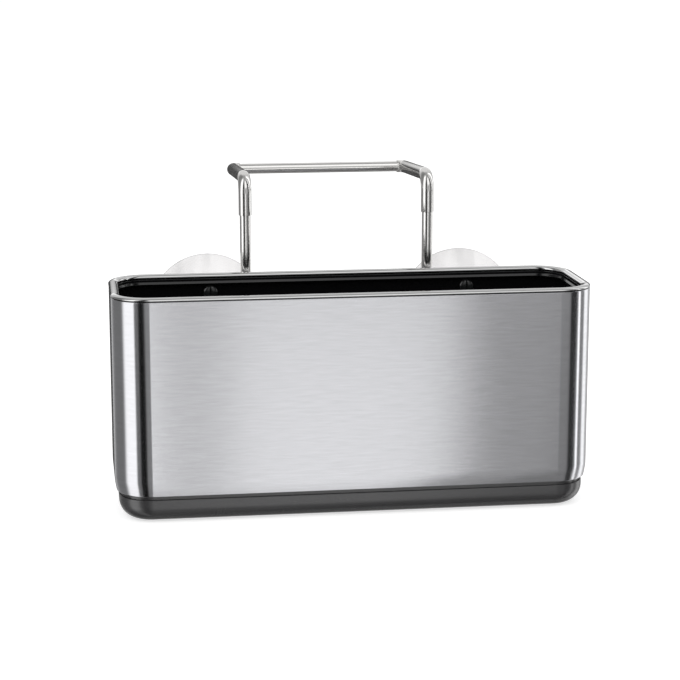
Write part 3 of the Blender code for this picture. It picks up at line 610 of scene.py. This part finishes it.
BASE_ROUND = 0.0095
BASE_SHOULDER = 0.0121
SHOULDER_BEVEL = 0.0005
GROOVE_DEPTH = 0.0012
GROOVE_INSET = BASE_INSET + GROOVE_DEPTH
GROOVE_TOP = 0.0150
BASE_WALL = 0.0020
BASE_FLOOR = 0.0022
BASE_INNER_ROUND = 0.0010
ROUND_STEPS = 18
NECK_INSET = foot_inset + BAND_WALL + CLEARANCE
sweep = np.linspace(0, math.pi / 2, ROUND_STEPS + 1)
round_rows = [(BASE_INSET + BASE_ROUND * (1 - math.sin(angle)), BASE_ROUND * (1 - math.cos(angle)), 0.0)
              for angle in sweep]
base_profile = round_rows + [
    (BASE_INSET, BASE_SHOULDER, SHOULDER_BEVEL),
    (GROOVE_INSET, BASE_SHOULDER, CRISP),
    (GROOVE_INSET, GROOVE_TOP, CRISP),
    (NECK_INSET, GROOVE_TOP + GROOVE_INSET - NECK_INSET, CRISP),
    (NECK_INSET, base_high.z, SOFT),
    (NECK_INSET + BASE_WALL, base_high.z, SOFT),
    (NECK_INSET + BASE_WALL, BASE_ROUND, BASE_INNER_ROUND),
    (BASE_INSET + BASE_ROUND, BASE_FLOOR, 0.0)]
base = carried("moulded_base", ENVELOPE, base_profile)
carve(base, drain_tools(0.0, BASE_FLOOR))
POST_RADIUS = 0.0044
POST_EDGE = 0.0004
SEAT_RADIUS = 0.0030
SEAT_DEPTH = 0.0026
SEAT_FLARE, FLARE_TOP = 0.0014, 0.0004
WELL_MIDDLE = 0.0001
well_top = base_high.z + OVERCUT
post = [(POST_RADIUS, BASE_FLOOR / 2, 0.0), (POST_RADIUS, base_high.z, POST_EDGE),
        (PAD_MIDDLE, base_high.z, 0.0)]
well = [(WELL_MIDDLE, -OVERCUT, 0.0), (SEAT_RADIUS + SEAT_FLARE, -OVERCUT, 0.0),
        (SEAT_RADIUS, FLARE_TOP, 0.0), (SEAT_RADIUS, SEAT_DEPTH, 0.0), (SCREW_HOLE, SEAT_DEPTH, 0.0),
        (SCREW_HOLE, well_top, 0.0), (WELL_MIDDLE, well_top, 0.0)]
carve(base, at_screws("post", post), 'UNION')
carve(base, at_screws("well", well))
place(base, "caddy", "base_tray",
      moulded("matt_grey", (0.042, 0.041, 0.043), (0.067, 0.066, 0.068), 0.24, shine=1.0))

# %% [markdown]
# ## Screws and rivets
#
# Each is a profile turned about its axis, with its recess cut in afterwards. The screws are plated steel,
# and the rivets are moulded plastic pins whose slotted heads show inside the bin.


# %% Base screws
ZINC_TONES = (0.42, 0.42, 0.43), (0.60, 0.60, 0.60)


def plated_steel():
    """Zinc-plated steel: fine crystalline mottling, duller where the driver has bitten."""
    steel = Finish("plated_steel")
    mottle = steel.noise(1800.0, 3.0, 0.7)
    return steel.shade(
        mottle, *ZINC_TONES,
        Metallic=1.0,
        Roughness=0.24 + mottle * 0.16 + steel.wear * 0.08,
        Normal=steel.bump(mottle, 0.000015, 0.6))


screw_finish = plated_steel()
HEAD_RADIUS = 0.0027
HEAD_HEIGHT = 0.0016
HEAD_CROWN = 0.0008
CROWN_SHARE, CROWN_DIP = 0.55, 0.0001
TIP_MIDDLE = 0.0002
CROSS_REACH = 0.0016
CROSS_HALF = 0.0003
CROSS_DEPTH = 0.0010
CROSS_TAPER = 0.0008
CROSS_SPREAD = 0.35
cross_corners = [(CROSS_REACH, CROSS_HALF), (CROSS_HALF, CROSS_HALF), (CROSS_HALF, CROSS_REACH)]
cross_points = []
for quarter in range(4):
    turn = Matrix.Rotation(quarter * math.pi / 2, 2)
    cross_points += [tuple(turn @ Vector(corner)) for corner in cross_corners]
cross_shape = (np.array(cross_points), -np.sign(np.round(cross_points, 6)) * CROSS_SPREAD, 0.0)
screw_profile = [
    (AXIS_GAP, screw_low, 0.0), (HEAD_RADIUS * CROWN_SHARE, screw_low + CROWN_DIP, HEAD_CROWN),
    (HEAD_RADIUS, screw_low + HEAD_CROWN, ROUND), (HEAD_RADIUS, screw_low + HEAD_HEIGHT, HAIR),
    (SCREW_SHANK, screw_low + HEAD_HEIGHT, HAIR), (SCREW_SHANK, screw_high - SCREW_SHANK, SOFT),
    (TIP_MIDDLE, screw_high, 0.0)]
recess_profile = [(0.0, screw_low - OVERCUT, 0.0), (CROSS_TAPER, screw_low + CROSS_DEPTH, 0.0)]
for name, spot in SCREWS:
    screw = turned(f"screw_{name}", screw_profile, at=spot)
    carve(screw, [carried("recess", cross_shape, recess_profile, at=spot)])
    place(screw, "caddy", f"base_screw_{name}", screw_finish)

# %% Bracket rivets
rivet_finish = moulded("rivet_grey", (0.008, 0.009, 0.009), (0.022, 0.024, 0.024), 0.22,
                       2200.0, 0.000008, shine=0.8)
RIVET_HEAD = 0.00365
RIVET_RISE = 0.0018
RIVET_SKIRT = 0.0005
RIVET_CURVE = 0.97
RIVET_DOME_FROM, RIVET_DOME_STEPS = 0.12, 12
RIVET_TAIL = 0.0027
PLATE_THICK = 0.0030
SLOT_HALF = 0.00045
SLOT_REACH = 0.006
SLOT_DEPTH = 0.0009
rivet_low, rivet_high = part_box("bracket_rivet_upper_left")
rivet_face = rivet_low.y + RIVET_RISE
PLATE_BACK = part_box("back_bracket_left")[0].y + PLATE_THICK
rivet_tail = PLATE_BACK + CLEARANCE
dome = np.linspace(RIVET_DOME_FROM, 1, RIVET_DOME_STEPS)
dome_depth = (RIVET_RISE - RIVET_SKIRT) * (1 - np.sqrt(1 - (RIVET_CURVE * dome) ** 2))
dome_rows = [(RIVET_HEAD * share, rivet_low.y + depth, 0.0) for share, depth in zip(dome, dome_depth)]
rivet_profile = dome_rows + [
    (RIVET_HEAD, rivet_face, HAIR), (RIVET_SHANK, rivet_face, HAIR), (RIVET_SHANK, rivet_tail, HAIR),
    (RIVET_TAIL, rivet_tail, CRISP), (RIVET_TAIL * CROWN_SHARE, rivet_high.y, ROUND),
    (AXIS_GAP, rivet_high.y, 0.0)]
blade = rounded_rectangle((-SLOT_HALF, -SLOT_REACH), (SLOT_HALF, SLOT_REACH), HAIR, 2)
blade_profile = [(0.0, rivet_low.y - OVERCUT, 0.0), (0.0, rivet_low.y + SLOT_DEPTH, 0.0)]
for name, spot in RIVETS:
    rivet = turned(f"rivet_{name}", rivet_profile, axis="Y", at=spot)
    carve(rivet, [carried("blade", blade, blade_profile, axis="Y", at=spot)])
    place(rivet, "caddy", f"bracket_rivet_{name}", rivet_finish)

# %% [markdown]
# ## The back brackets
#
# Each carrier is one moulding: a flat plate against the band, two collars for the loop's rod, and a socket
# that the suction cup's knob drops into from above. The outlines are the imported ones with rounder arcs, and
# every outer edge is eased, as a moulding's are.

# %% Brackets
BRACKET_CORNER = 0.0030
BRACKET_CORNER_STEPS = 10
EASE = 0.0004
COLLAR_LENGTH = 0.0110
COLLAR_RADIUS = 0.0062
COLLAR_BORE = 0.0045
SOCKET_HALF = 0.0075
SOCKET_WEB = 0.0030
SOCKET_DEPTH = 0.0055
BOSS_ROOT = 0.0015
KNOB_RADIUS = 0.0040
NECK_RADIUS = 0.0026
ROD_X, ROD_Y, _ = middle(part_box("guide_rod_right"))
DARK_MOULDING = (0.012, 0.012, 0.013), (0.032, 0.032, 0.033)
bracket_finish = moulded("bracket_black", *DARK_MOULDING, 0.46)
knob_front = cup_low.y
SOCKET_BACK = knob_front + SOCKET_DEPTH
web_front = SOCKET_BACK - SOCKET_WEB
root = PLATE_BACK - BOSS_ROOT


def keyhole(radius):
    """U open at the top of the socket: a half circle below, straight sides above."""
    rise = SOCKET_HALF + OVERCUT
    return arcs(radius + CLEARANCE, (0, 0, 180, 360, 20), (0, rise, 0, 0, 0), (0, rise, 180, 180, 0))


def slab(low, high):
    """Profile between two faces, eased at both."""
    return [(EASE * 2, low, 0.0), (0.0, low, EASE), (0.0, high, EASE), (EASE * 2, high, 0.0)]


collar_shape = arcs(COLLAR_RADIUS, (0, 0, 0, 180, 28), (0, root - ROD_Y, 180, 180, 0),
                    (0, root - ROD_Y, 0, 0, 0))
socket_shape = rounded_rectangle((-SOCKET_HALF, -SOCKET_HALF), (SOCKET_HALF, SOCKET_HALF),
                                 BRACKET_CORNER, BRACKET_CORNER_STEPS)
socket_profile = [(0.0, root, 0.0), (0.0, SOCKET_BACK, EASE), (EASE * 2, SOCKET_BACK, 0.0)]
pocket_profile = [(0.0, knob_front - CLEARANCE, 0.0), (0.0, web_front, 0.0)]
throat_profile = [(0.0, web_front - CLEARANCE, 0.0), (0.0, SOCKET_BACK - EASE, 0.0),
                  (-2 * EASE, SOCKET_BACK + EASE, 0.0)]
for side, sign in SIDES:
    low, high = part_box(f"back_bracket_{side}")
    rod_place, cup_place = (sign * ROD_X, ROD_Y, 0.0), (sign * CUP_X, 0.0, CUP_Z)
    plate_shape = rounded_rectangle((low.x, low.z), (high.x, high.z), BRACKET_CORNER, BRACKET_CORNER_STEPS)
    bracket = carried(f"bracket_{side}", plate_shape, slab(low.y, PLATE_BACK), axis="Y")
    bosses = [carried("collar", collar_shape, slab(bottom, bottom + COLLAR_LENGTH), at=rod_place)
              for bottom in (high.z - COLLAR_LENGTH, low.z)]
    bosses.append(carried("socket", socket_shape, socket_profile, axis="Y", at=cup_place))
    carve(bracket, bosses, 'UNION')
    pocket = carried("pocket", keyhole(KNOB_RADIUS), pocket_profile, axis="Y", at=cup_place)
    throat = carried("throat", keyhole(NECK_RADIUS), throat_profile, axis="Y", at=cup_place)
    collar_bore = [(COLLAR_BORE, low.z - OVERCUT, 0.0), (COLLAR_BORE, high.z + OVERCUT, 0.0)]
    carve(bracket, [pocket, throat, turned("bore", collar_bore, at=rod_place)]
          + rivet_tools(low.y, PLATE_BACK, side))
    place(bracket, "caddy", f"back_bracket_{side}", bracket_finish)

# %% [markdown]
# ## Guide bushes and rod stops
#
# The rods run in flanged bushes of a paler, slippery plastic, and end in blind caps below the lower collars.

# %% Bushes and stops
bush_finish = moulded("bush_grey", (0.24, 0.24, 0.23), (0.34, 0.34, 0.33), 0.50, 1800.0, 0.000010)
stop_finish = moulded("stop_black", *DARK_MOULDING, 0.44)
GUIDE_SIDES = 56
BUSH_INNER = 0.0032
BUSH_OUTER = 0.0042
BUSH_FLANGE = 0.0050
FLANGE_THICK = 0.0010
STOP_RADIUS = 0.0048
STOP_BORE = 0.0032
STOP_FLOOR = 0.0012
STOP_ROUND = 0.0010
for side, sign in SIDES:
    centre = (sign * ROD_X, ROD_Y, 0.0)
    for level in ("upper", "lower"):
        low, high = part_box(f"guide_bush_{level}_{side}")
        far, near, out = (low.z, high.z, 1) if level == "upper" else (high.z, low.z, -1)
        seat = near - out * FLANGE_THICK
        profile = [(BUSH_INNER, near, SOFT), (BUSH_FLANGE, near, SOFT), (BUSH_FLANGE, seat, CRISP),
                   (BUSH_OUTER, seat, HAIR), (BUSH_OUTER, far, CRISP), (BUSH_INNER, far, CRISP)]
        bush = turned(f"bush_{level}_{side}", profile, GUIDE_SIDES, at=centre, closed=True)
        place(bush, "caddy", f"guide_bush_{level}_{side}", bush_finish)
    low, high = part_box(f"rod_stop_{side}")
    profile = [(AXIS_GAP, low.z, 0.0), (STOP_RADIUS, low.z, STOP_ROUND), (STOP_RADIUS, high.z, SOFT),
               (STOP_BORE, high.z, SOFT), (STOP_BORE, low.z + STOP_FLOOR, HAIR),
               (AXIS_GAP, low.z + STOP_FLOOR, 0.0)]
    stop = turned(f"stop_{side}", profile, GUIDE_SIDES, at=centre)
    place(stop, "wire_loop", f"rod_stop_{side}", stop_finish)

# %% [markdown]
# ## The wire loop
#
# Two straight rods, two bent tubes and a bent bar, all bright-drawn and polished. Each tube slips over its
# rod's top, runs back as an arm and goes round the far corner over the bar's end, so both its open ends show
# as a thin lip with a dark gap inside. A tube is a path with a circle square to it at each point, and the
# circle's starting side is carried along the path, so it can't twist.


# %% Paths of straight runs and bends
BEND_STEPS = 20


def straight(start, end):
    """Points and directions of a straight run."""
    points = np.array((start, end), float)
    ahead = points[1] - points[0]
    return points, np.tile(ahead / np.linalg.norm(ahead), (2, 1))


def bent(centre, first, last, radius, turn=90.0):
    """Points and directions of a bend about a centre, turning from one unit direction towards another."""
    angle = np.radians(np.linspace(0, turn, BEND_STEPS + 1))[:, None]
    first, last = np.array((first, last), float)
    points = centre + radius * (np.cos(angle) * first + np.sin(angle) * last)
    return points, np.cos(angle) * last - np.sin(angle) * first


def joined(*runs):
    """Several runs one after the other, each later one without its first point."""
    return [np.concatenate([runs[0][part]] + [run[part][1:] for run in runs[1:]]) for part in (0, 1)]


def along(path, distance):
    """Points and directions at distances along a path, measured on its straight pieces."""
    lengths = distances(path[0])
    at = np.clip(distance, 0, lengths[-1])
    place_at, ahead_at = (np.stack([np.interp(at, lengths, values) for values in part.T], axis=1)
                          for part in path)
    return place_at, ahead_at / np.linalg.norm(ahead_at, axis=1, keepdims=True)


# %% Wires and tubes along a path
WIRE_SIDES = 40
WIRE_END = 0.0005
TUBE_LIP = 0.00012
LONG_SPAN = 0.001


def carried_sides(ahead, side):
    """A side direction carried along a path: at each point, the part of it along the path is taken off."""
    sides = np.empty_like(ahead)
    side = np.array(side, float)
    for index, direction in enumerate(ahead):
        side = side - direction * (side @ direction)
        side /= np.linalg.norm(side)
        sides[index] = side
    return sides


def tube(name, path, side, profile, closed=False):
    """Carry (distance, radius) rows along a path: each ring is the path's point plus the radius times
    cosine of the angle in the path's normal and sine in the carried side direction. A long span gets a
    ring at each of the path's points."""
    ends = soften(profile, closed)
    rows = [ends[0]]
    knots = distances(path[0])
    for before, after in zip(ends, np.concatenate((ends[1:], ends[:1] if closed else ends[:0]))):
        if abs(after[0] - before[0]) > LONG_SPAN:
            inner = knots[(knots > min(before[0], after[0])) & (knots < max(before[0], after[0]))]
            inner = inner if after[0] > before[0] else inner[::-1]
            rows += [np.array((d, before[1])) for d in inner]
        rows.append(after)
    rows = np.array(rows[:-1] if closed else rows)
    point, ahead = along(path, rows[:, 0])
    sides = carried_sides(ahead, side)
    normal = np.cross(ahead, sides)
    angle = np.linspace(0, 2 * math.pi, WIRE_SIDES, endpoint=False)
    ring = np.cos(angle)[:, None] * normal[:, None] + np.sin(angle)[:, None] * sides[:, None]
    return skin(name, point[:, None] + rows[:, 1, None, None] * ring, rows, closed)


def wire(name, path, side):
    """Solid wire with eased ends along a path."""
    length = distances(path[0])[-1]
    return tube(name, path, side, [(0.0, AXIS_GAP, 0.0), (0.0, ROD_RADIUS, WIRE_END),
                                   (length, ROD_RADIUS, WIRE_END), (length, AXIS_GAP, 0.0)])


# %% Rods, elbows and crossbar
wire_finish = polished_steel("wire_steel", (0.80, 0.79, 0.775), (0.88, 0.87, 0.855), 0.10, 0.00002)
ROD_RADIUS = 0.0029
TUBE_RADIUS = 0.00345
TUBE_WALL = 0.00035
TUBE_BEND = 0.0085
TUBE_PAST_BEND = 0.0002
BAR_BEND = 0.0037
BAR_LEG = 0.0140
ARM_DROOP = 3.1
UP, RIGHT = (0, 0, 1), (1, 0, 0)
FRONT, LEFT = (0, -1, 0), (-1, 0, 0)
arm_low, arm_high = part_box("elbow_tube_right")
LOOP_Z = arm_high.z - TUBE_RADIUS
slope = math.radians(ARM_DROOP)
ARM_AHEAD = np.array((0.0, math.cos(slope), -math.sin(slope)))
ARM_SQUARE = np.array((0.0, math.sin(slope), math.cos(slope)))
BAR_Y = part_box("faucet_crossbar")[1].y - ROD_RADIUS
arm_start_y = ROD_Y + TUBE_BEND * (1 + math.sin(slope))
arm_start_z = LOOP_Z - TUBE_BEND * (1 - math.cos(slope))
BAR_Z = arm_start_z - (BAR_Y - arm_start_y) * math.tan(slope)


def on_arms(x, short=0.0):
    """A point in the arms' sloping plane, this far short of the bar's own axis."""
    return np.array((x, BAR_Y, BAR_Z)) - ARM_AHEAD * short


def far_corner(sign, first, last):
    """The bend between one arm and the bar, from one unit direction about its centre to another."""
    return bent(on_arms(sign * bend_x, BAR_BEND), first, last, BAR_BEND)


bend_x = ROD_X - BAR_BEND
for side, sign in SIDES:
    x = sign * ROD_X
    low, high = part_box(f"guide_rod_{side}")
    rod = wire(f"rod_{side}", straight((x, ROD_Y, low.z), (x, ROD_Y, high.z)), RIGHT)
    place(rod, "wire_loop", f"guide_rod_{side}", wire_finish)
    corner = (x, ROD_Y + TUBE_BEND, LOOP_Z - TUBE_BEND)
    path = joined(straight((x, ROD_Y, arm_low.z), (x, ROD_Y, corner[2])),
                  bent(corner, FRONT, UP, TUBE_BEND, 90.0 + ARM_DROOP),
                  straight((x, arm_start_y, arm_start_z), on_arms(x, BAR_BEND)),
                  far_corner(sign, (sign, 0, 0), ARM_AHEAD),
                  straight(on_arms(sign * bend_x), on_arms(sign * (bend_x - TUBE_PAST_BEND))))
    length = distances(path[0])[-1]
    bore = TUBE_RADIUS - TUBE_WALL
    elbow = tube(f"elbow_{side}", path, RIGHT,
                 [(0.0, TUBE_RADIUS, TUBE_LIP), (length, TUBE_RADIUS, TUBE_LIP), (length, bore, TUBE_LIP),
                  (0.0, bore, TUBE_LIP)], closed=True)
    place(elbow, "wire_loop", f"elbow_tube_{side}", wire_finish)

path = joined(straight(on_arms(-ROD_X, BAR_BEND + BAR_LEG), on_arms(-ROD_X, BAR_BEND)),
              far_corner(-1, LEFT, ARM_AHEAD),
              straight(on_arms(-bend_x), on_arms(bend_x)),
              far_corner(1, ARM_AHEAD, RIGHT),
              straight(on_arms(ROD_X, BAR_BEND), on_arms(ROD_X, BAR_BEND + BAR_LEG)))
crossbar = wire("crossbar", path, ARM_SQUARE)
place(crossbar, "wire_loop", "faucet_crossbar", wire_finish)

# %% [markdown]
# ## Suction cups
#
# Soft clear vinyl, moulded in one with its neck and knob. The skirt thins towards a flat ring that seals on
# the
# sink. Clear vinyl is never quite clear: it has a faint warm milkiness, soft waves from the mould, and a
# fine bloom that makes its highlights a little blurred. Soft upright grey bands across the cups are painted
# shade.


# %% Suction cups
VINYL_TONES = (0.930, 0.918, 0.918), (0.60, 0.59, 0.59)
SHADE_BANDS = (70.0, 20.0, 12.0)


def clear_vinyl():
    """Clear soft plastic with soft grey bands of painted shade, flow waves and a fine bloom."""
    vinyl = Finish("clear_vinyl")
    bloom = vinyl.noise(700.0, 3.0, 0.6)
    waves = vinyl.noise(90.0, 1.0, 0.4)
    shade_bands = vinyl.ramp(vinyl.streaks(SHADE_BANDS), (0.42, 0.0), (0.66, 0.5))
    # Painted shade: the colour turns grey in soft upright bands. It also turns grey along the profile's
    # edges.
    return vinyl.shade(
        shade_bands + bloom * 0.1 + vinyl.wear * 0.9, *VINYL_TONES,
        Roughness=0.05 + bloom * 0.10,
        IOR=1.50, Transmission_Weight=0.96,
        Normal=vinyl.bump(waves + bloom * 0.05, 0.00005, 0.5))


vinyl_finish = clear_vinyl()
CUP_RING = 0.0040
CUP_LIP = 0.0009
CUP_BODY = 0.0090
CUP_DEPTH = 0.0090
CUP_HOLLOW = 0.0060
HOLLOW_POWER = 1.5
FLARE_POWER = 1.3
KNOB_THICK = 0.0022
HOLLOW_FROM, FLARE_STEPS = 0.02, 22
CUP_SIDES = 96
for side, sign in SIDES:
    low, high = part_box(f"suction_cup_{side}")
    plane = high.y
    inner = CUP_RADIUS - CUP_RING
    share = np.linspace(HOLLOW_FROM, 1, FLARE_STEPS, endpoint=False)
    hollow = np.stack((inner * share, plane - CUP_HOLLOW * np.cos(share * math.pi / 2) ** HOLLOW_POWER), 1)
    share = np.linspace(0, 1, FLARE_STEPS)[1:]
    rise = np.sin(share * math.pi / 2) ** FLARE_POWER
    skirt = np.stack((CUP_RADIUS - (CUP_RADIUS - CUP_BODY) * share,
                      plane - CUP_LIP - (CUP_DEPTH - CUP_LIP) * rise), 1)
    profile = [(r, y, 0.0) for r, y in hollow]
    profile += [(inner, plane, SOFT), (CUP_RADIUS, plane, SOFT), (CUP_RADIUS, plane - CUP_LIP, SOFT)]
    profile += [(r, y, 0.0) for r, y in skirt]
    profile += [(NECK_RADIUS, plane - CUP_DEPTH, ROUND), (NECK_RADIUS, low.y + KNOB_THICK, SOFT),
                (KNOB_RADIUS, low.y + KNOB_THICK, SOFT), (KNOB_RADIUS, low.y, ROUND),
                (AXIS_GAP, low.y, 0.0)]
    cup = turned(f"cup_{side}", profile, CUP_SIDES, "Y", (sign * CUP_X, 0.0, CUP_Z))
    place(cup, f"cup_{side}", f"suction_cup_{side}", vinyl_finish)

# %% [markdown]
# ## The studio
#
# The photograph is a plain product shot on white. What the steel shows is the studio round it: a white panel
# ahead, strips at both sides, and the dim room between. A dome that only reflections can see holds those
# levels by direction: panels up to a grey ceiling, and patches over a part of that height. Lamps and sky
# light the object itself evenly, and the floor keeps a soft shadow.

# %% Panels and patches of the reflected studio, in degrees: azimuth 0 is ahead of the front, 90 at its right
ROOM_LEVEL = 0.27
# Name, start, end, softness of each end, level
PANELS = (("back wall", 130, 214, 10, 20, 0.62),
          ("left grey screen", -134, -96, 12, 6, 0.22),
          ("left soft box", -87, -49.5, 14, 3, 1.48),
          ("left grey flag", -48.0, -38, 2, 9, 0.18),
          ("left black flag", -37, -17, 6, 7, 0.010),
          ("left screen", -12.3, 0, 7, 3, 0.26),
          ("gap by the screen", -1.0, 4.6, 2, 2, 0.78),
          ("lit edge of the screen", -2.6, -1.0, 0.8, 0.8, 1.80),
          ("front white panel", 2.7, 13.5, 1.2, 0.6, 1.19),
          ("front grey screen", 13.3, 45, 0.8, 7, 0.26),
          ("edge of the grey screen", 13.3, 17.3, 0.8, 0.4, 0.35),
          ("its lit end", 15.6, 17.3, 0.8, 0.4, 0.50),
          ("right black flag", 47, 70, 9, 4, 0.038),
          ("right strip", 75.5, 83.5, 2.5, 4, 1.85),
          ("right soft box", 102, 126, 7, 7, 1.40))
# Name, start, end, their softness, low, high, their softness, level
PATCHES = (("sky behind", 145, 215, 24, 14, 72, 12, 0.75),
           ("sky ahead", -8, 40, 16, 33, 72, 12, 1.18),
           ("dim wall ahead", -20, 44, 10, 3, 30, 6, 0.48),
           ("dark backdrop", 147, 200, 5, -22, 9, 3, 0.07),
           ("lit top of the backdrop", 150, 198, 8, 13, 18, 2, 1.30))
CEILING_FROM, CEILING_FADE, CEILING_LEVEL = 72, 16, 0.36
CELLAR_FROM, CELLAR_FADE, CELLAR_DIM = 44, 12, 0.6
print("panels:", len(PANELS), "| patches:", len(PATCHES))

# %% Dome that only reflections see
DOME_RADIUS = 4.0
DOME_COLUMNS = 1440
DOME_ROWS = 91
DOME_TOP = 89
azimuth = np.radians(np.arange(DOME_COLUMNS) * 360.0 / DOME_COLUMNS - 180.0)
height = np.radians(np.linspace(-DOME_TOP, DOME_TOP, DOME_ROWS))
level_grid, azimuth_grid = np.meshgrid(height, azimuth, indexing="ij")
dome_grid = DOME_RADIUS * np.stack((np.sin(azimuth_grid) * np.cos(level_grid),
                                    -np.cos(azimuth_grid) * np.cos(level_grid), np.sin(level_grid)), axis=-1)
round_angle = np.degrees(azimuth_grid)
climb = np.degrees(level_grid)


def step(value, edge, width):
    """Smooth step from 0 to 1, of this width about an edge."""
    share = np.clip((value - edge) / width + 0.5, 0, 1)
    return share * share * (3 - 2 * share)


def lay(glow, level, start, end, start_soft, end_soft, part=1.0):
    """Lay a level over part of the dome between two azimuths, which may run past the back."""
    for turn in (-360, 0):
        inside = step(round_angle, start + turn, start_soft) * step(-round_angle, -end - turn, end_soft)
        inside = inside * part
        glow = glow * (1 - inside) + level * inside
    return glow


glow = np.full(round_angle.shape, ROOM_LEVEL)
for _, start, end, start_soft, end_soft, level in PANELS:
    glow = lay(glow, level, start, end, start_soft, end_soft)
for _, start, end, soft, low, high, fade, level in PATCHES:
    part = step(climb, low, fade) * step(-climb, -high, fade)
    glow = lay(glow, level, start, end, soft, soft, part)
ceiling = step(climb, CEILING_FROM, CEILING_FADE)
glow = glow * (1 - ceiling) + CEILING_LEVEL * ceiling
cellar = step(-climb, CELLAR_FROM, CELLAR_FADE)
glow = glow * (1 - cellar * CELLAR_DIM)
dome_rows = np.stack((np.zeros(DOME_ROWS), height), axis=1)
dome = skin("studio_dome", dome_grid, dome_rows, closed=False)
glow_values = np.append(glow.ravel(), (glow[0].mean(), CEILING_LEVEL)).astype(np.float32)
dome.data.attributes.new("glow", 'FLOAT', 'POINT').data.foreach_set("value", glow_values)
dome_light = bpy.data.materials.new("studio_glow")
graph = Graph(dome_light)
emission = graph.node('ShaderNodeEmission', None,
                      {"Strength": graph.node('ShaderNodeAttribute', {"attribute_name": "glow"}, out="Fac")})
graph.node('ShaderNodeOutputMaterial', None, {"Surface": emission})
dome_light.cycles.emission_sampling = 'NONE'
dome.data.materials.append(dome_light)
dome.visible_camera = False
dome.visible_diffuse = False
dome.visible_transmission = False
dome.visible_shadow = False
print(f"dome levels: {glow.min():.2f} to {glow.max():.2f}")

# %% Sky
SKY_LEVEL = 0.496
WHITE = (1.0, 1.0, 1.0, 1.0)
world = bpy.data.worlds.new("studio")
bpy.context.scene.world = world


def seen_by(graph, *rays):
    """1 for these kinds of ray, 0 for all others."""
    total = graph.node('ShaderNodeLightPath', out=f"Is {rays[0]} Ray")
    for ray in rays[1:]:
        other = graph.node('ShaderNodeLightPath', out=f"Is {ray} Ray")
        total = graph.node('ShaderNodeMath', {"operation": 'MAXIMUM'}, {0: total, 1: other})
    return total


graph = Graph(world)
seen = seen_by(graph, "Camera", "Glossy", "Transmission")
sky = graph.node('ShaderNodeBackground', None,
                 {"Color": WHITE, "Strength": seen * (1.0 - SKY_LEVEL) + SKY_LEVEL})
graph.node('ShaderNodeOutputWorld', None, {"Surface": sky})
print("sky level on the object:", SKY_LEVEL)

# %% Floor
FLOOR_REACH = 30.0
FLOOR_DROP = 0.0002
FLOOR_PALE = (0.80, 0.80, 0.80, 1.0)
FLOOR_LIFT = 0.64
FLOOR_LIFT_THROUGH = 0.46
floor_mesh = bpy.data.meshes.new("floor")
corners = ((-1, -1), (1, -1), (1, 1), (-1, 1))
floor_mesh.from_pydata([(x * FLOOR_REACH, y * FLOOR_REACH, 0) for x, y in corners], [], [(0, 1, 2, 3)])
floor = shown("floor", floor_mesh)
floor.location.z = -FLOOR_DROP
floor_white = bpy.data.materials.new("floor_white")
graph = Graph(floor_white)
glow_seen = seen_by(graph, "Camera") * FLOOR_LIFT + seen_by(graph, "Transmission") * FLOOR_LIFT_THROUGH
matt = graph.node('ShaderNodeBsdfDiffuse', None, {"Color": FLOOR_PALE})
lift = graph.node('ShaderNodeEmission', None, {"Strength": glow_seen})
both = graph.node('ShaderNodeAddShader', None, {0: matt, 1: lift})
graph.node('ShaderNodeOutputMaterial', None, {"Surface": both})
floor_mesh.materials.append(floor_white)
floor.visible_glossy = False
print(f"floor: {2 * FLOOR_REACH:.0f} m square")

# %% Lamps, each with its name, place, side and power
LAMP_AIM = Vector((0.0, 0.0, 0.07))
LAMPS = (("key", (-0.9, -1.1, 1.5), 1.2, 9.0), ("fill", (1.2, -0.9, 1.2), 1.4, 5.0),
         ("back", (0.3, 1.3, 1.3), 1.2, 5.0))
for name, spot, size, power in LAMPS:
    lamp = bpy.data.lights.new(name, 'AREA')
    lamp.shape = 'SQUARE'
    lamp.size = size
    lamp.energy = power
    holder = shown(name, lamp)
    holder.location = spot
    holder.rotation_mode = 'QUATERNION'
    holder.rotation_quaternion = (LAMP_AIM - Vector(spot)).to_track_quat('-Z', 'Y')
    holder.visible_camera = False
    holder.visible_glossy = False
print("lamps:", ", ".join(lamp[0] for lamp in LAMPS))

# %% [markdown]
# ## Camera
#
# The viewpoint was solved from edges measured in the photograph: focal length in pixels, place, and three
# angles.

# %% Camera
PICTURE = 680.0
FOCAL_PIXELS = 1960.34
SENSOR = 36.0
CAMERA_PLACE = (-0.14060, -0.97556, 0.28729)
YAW, PITCH, ROLL = (math.radians(angle) for angle in (7.95035, 11.66472, -0.0074))
ahead = Vector((math.sin(YAW) * math.cos(PITCH), math.cos(YAW) * math.cos(PITCH), -math.sin(PITCH)))
level_right = Vector((math.cos(YAW), -math.sin(YAW), 0.0))
level_up = level_right.cross(ahead)
right = level_right * math.cos(ROLL) + level_up * math.sin(ROLL)
up = right.cross(ahead)
camera_data = bpy.data.cameras.new("camera")
camera_data.sensor_width = SENSOR
camera_data.lens = FOCAL_PIXELS * SENSOR / PICTURE
camera_data.clip_start, camera_data.clip_end = 0.05, 60.0
camera = shown("camera", camera_data)
turn = Matrix((right, up, -ahead)).transposed().to_4x4()
camera.matrix_world = Matrix.Translation(CAMERA_PLACE) @ turn
bpy.context.scene.camera = camera
bpy.context.scene.view_settings.view_transform = 'Standard'
print(f"camera lens: {camera_data.lens:.1f} mm")
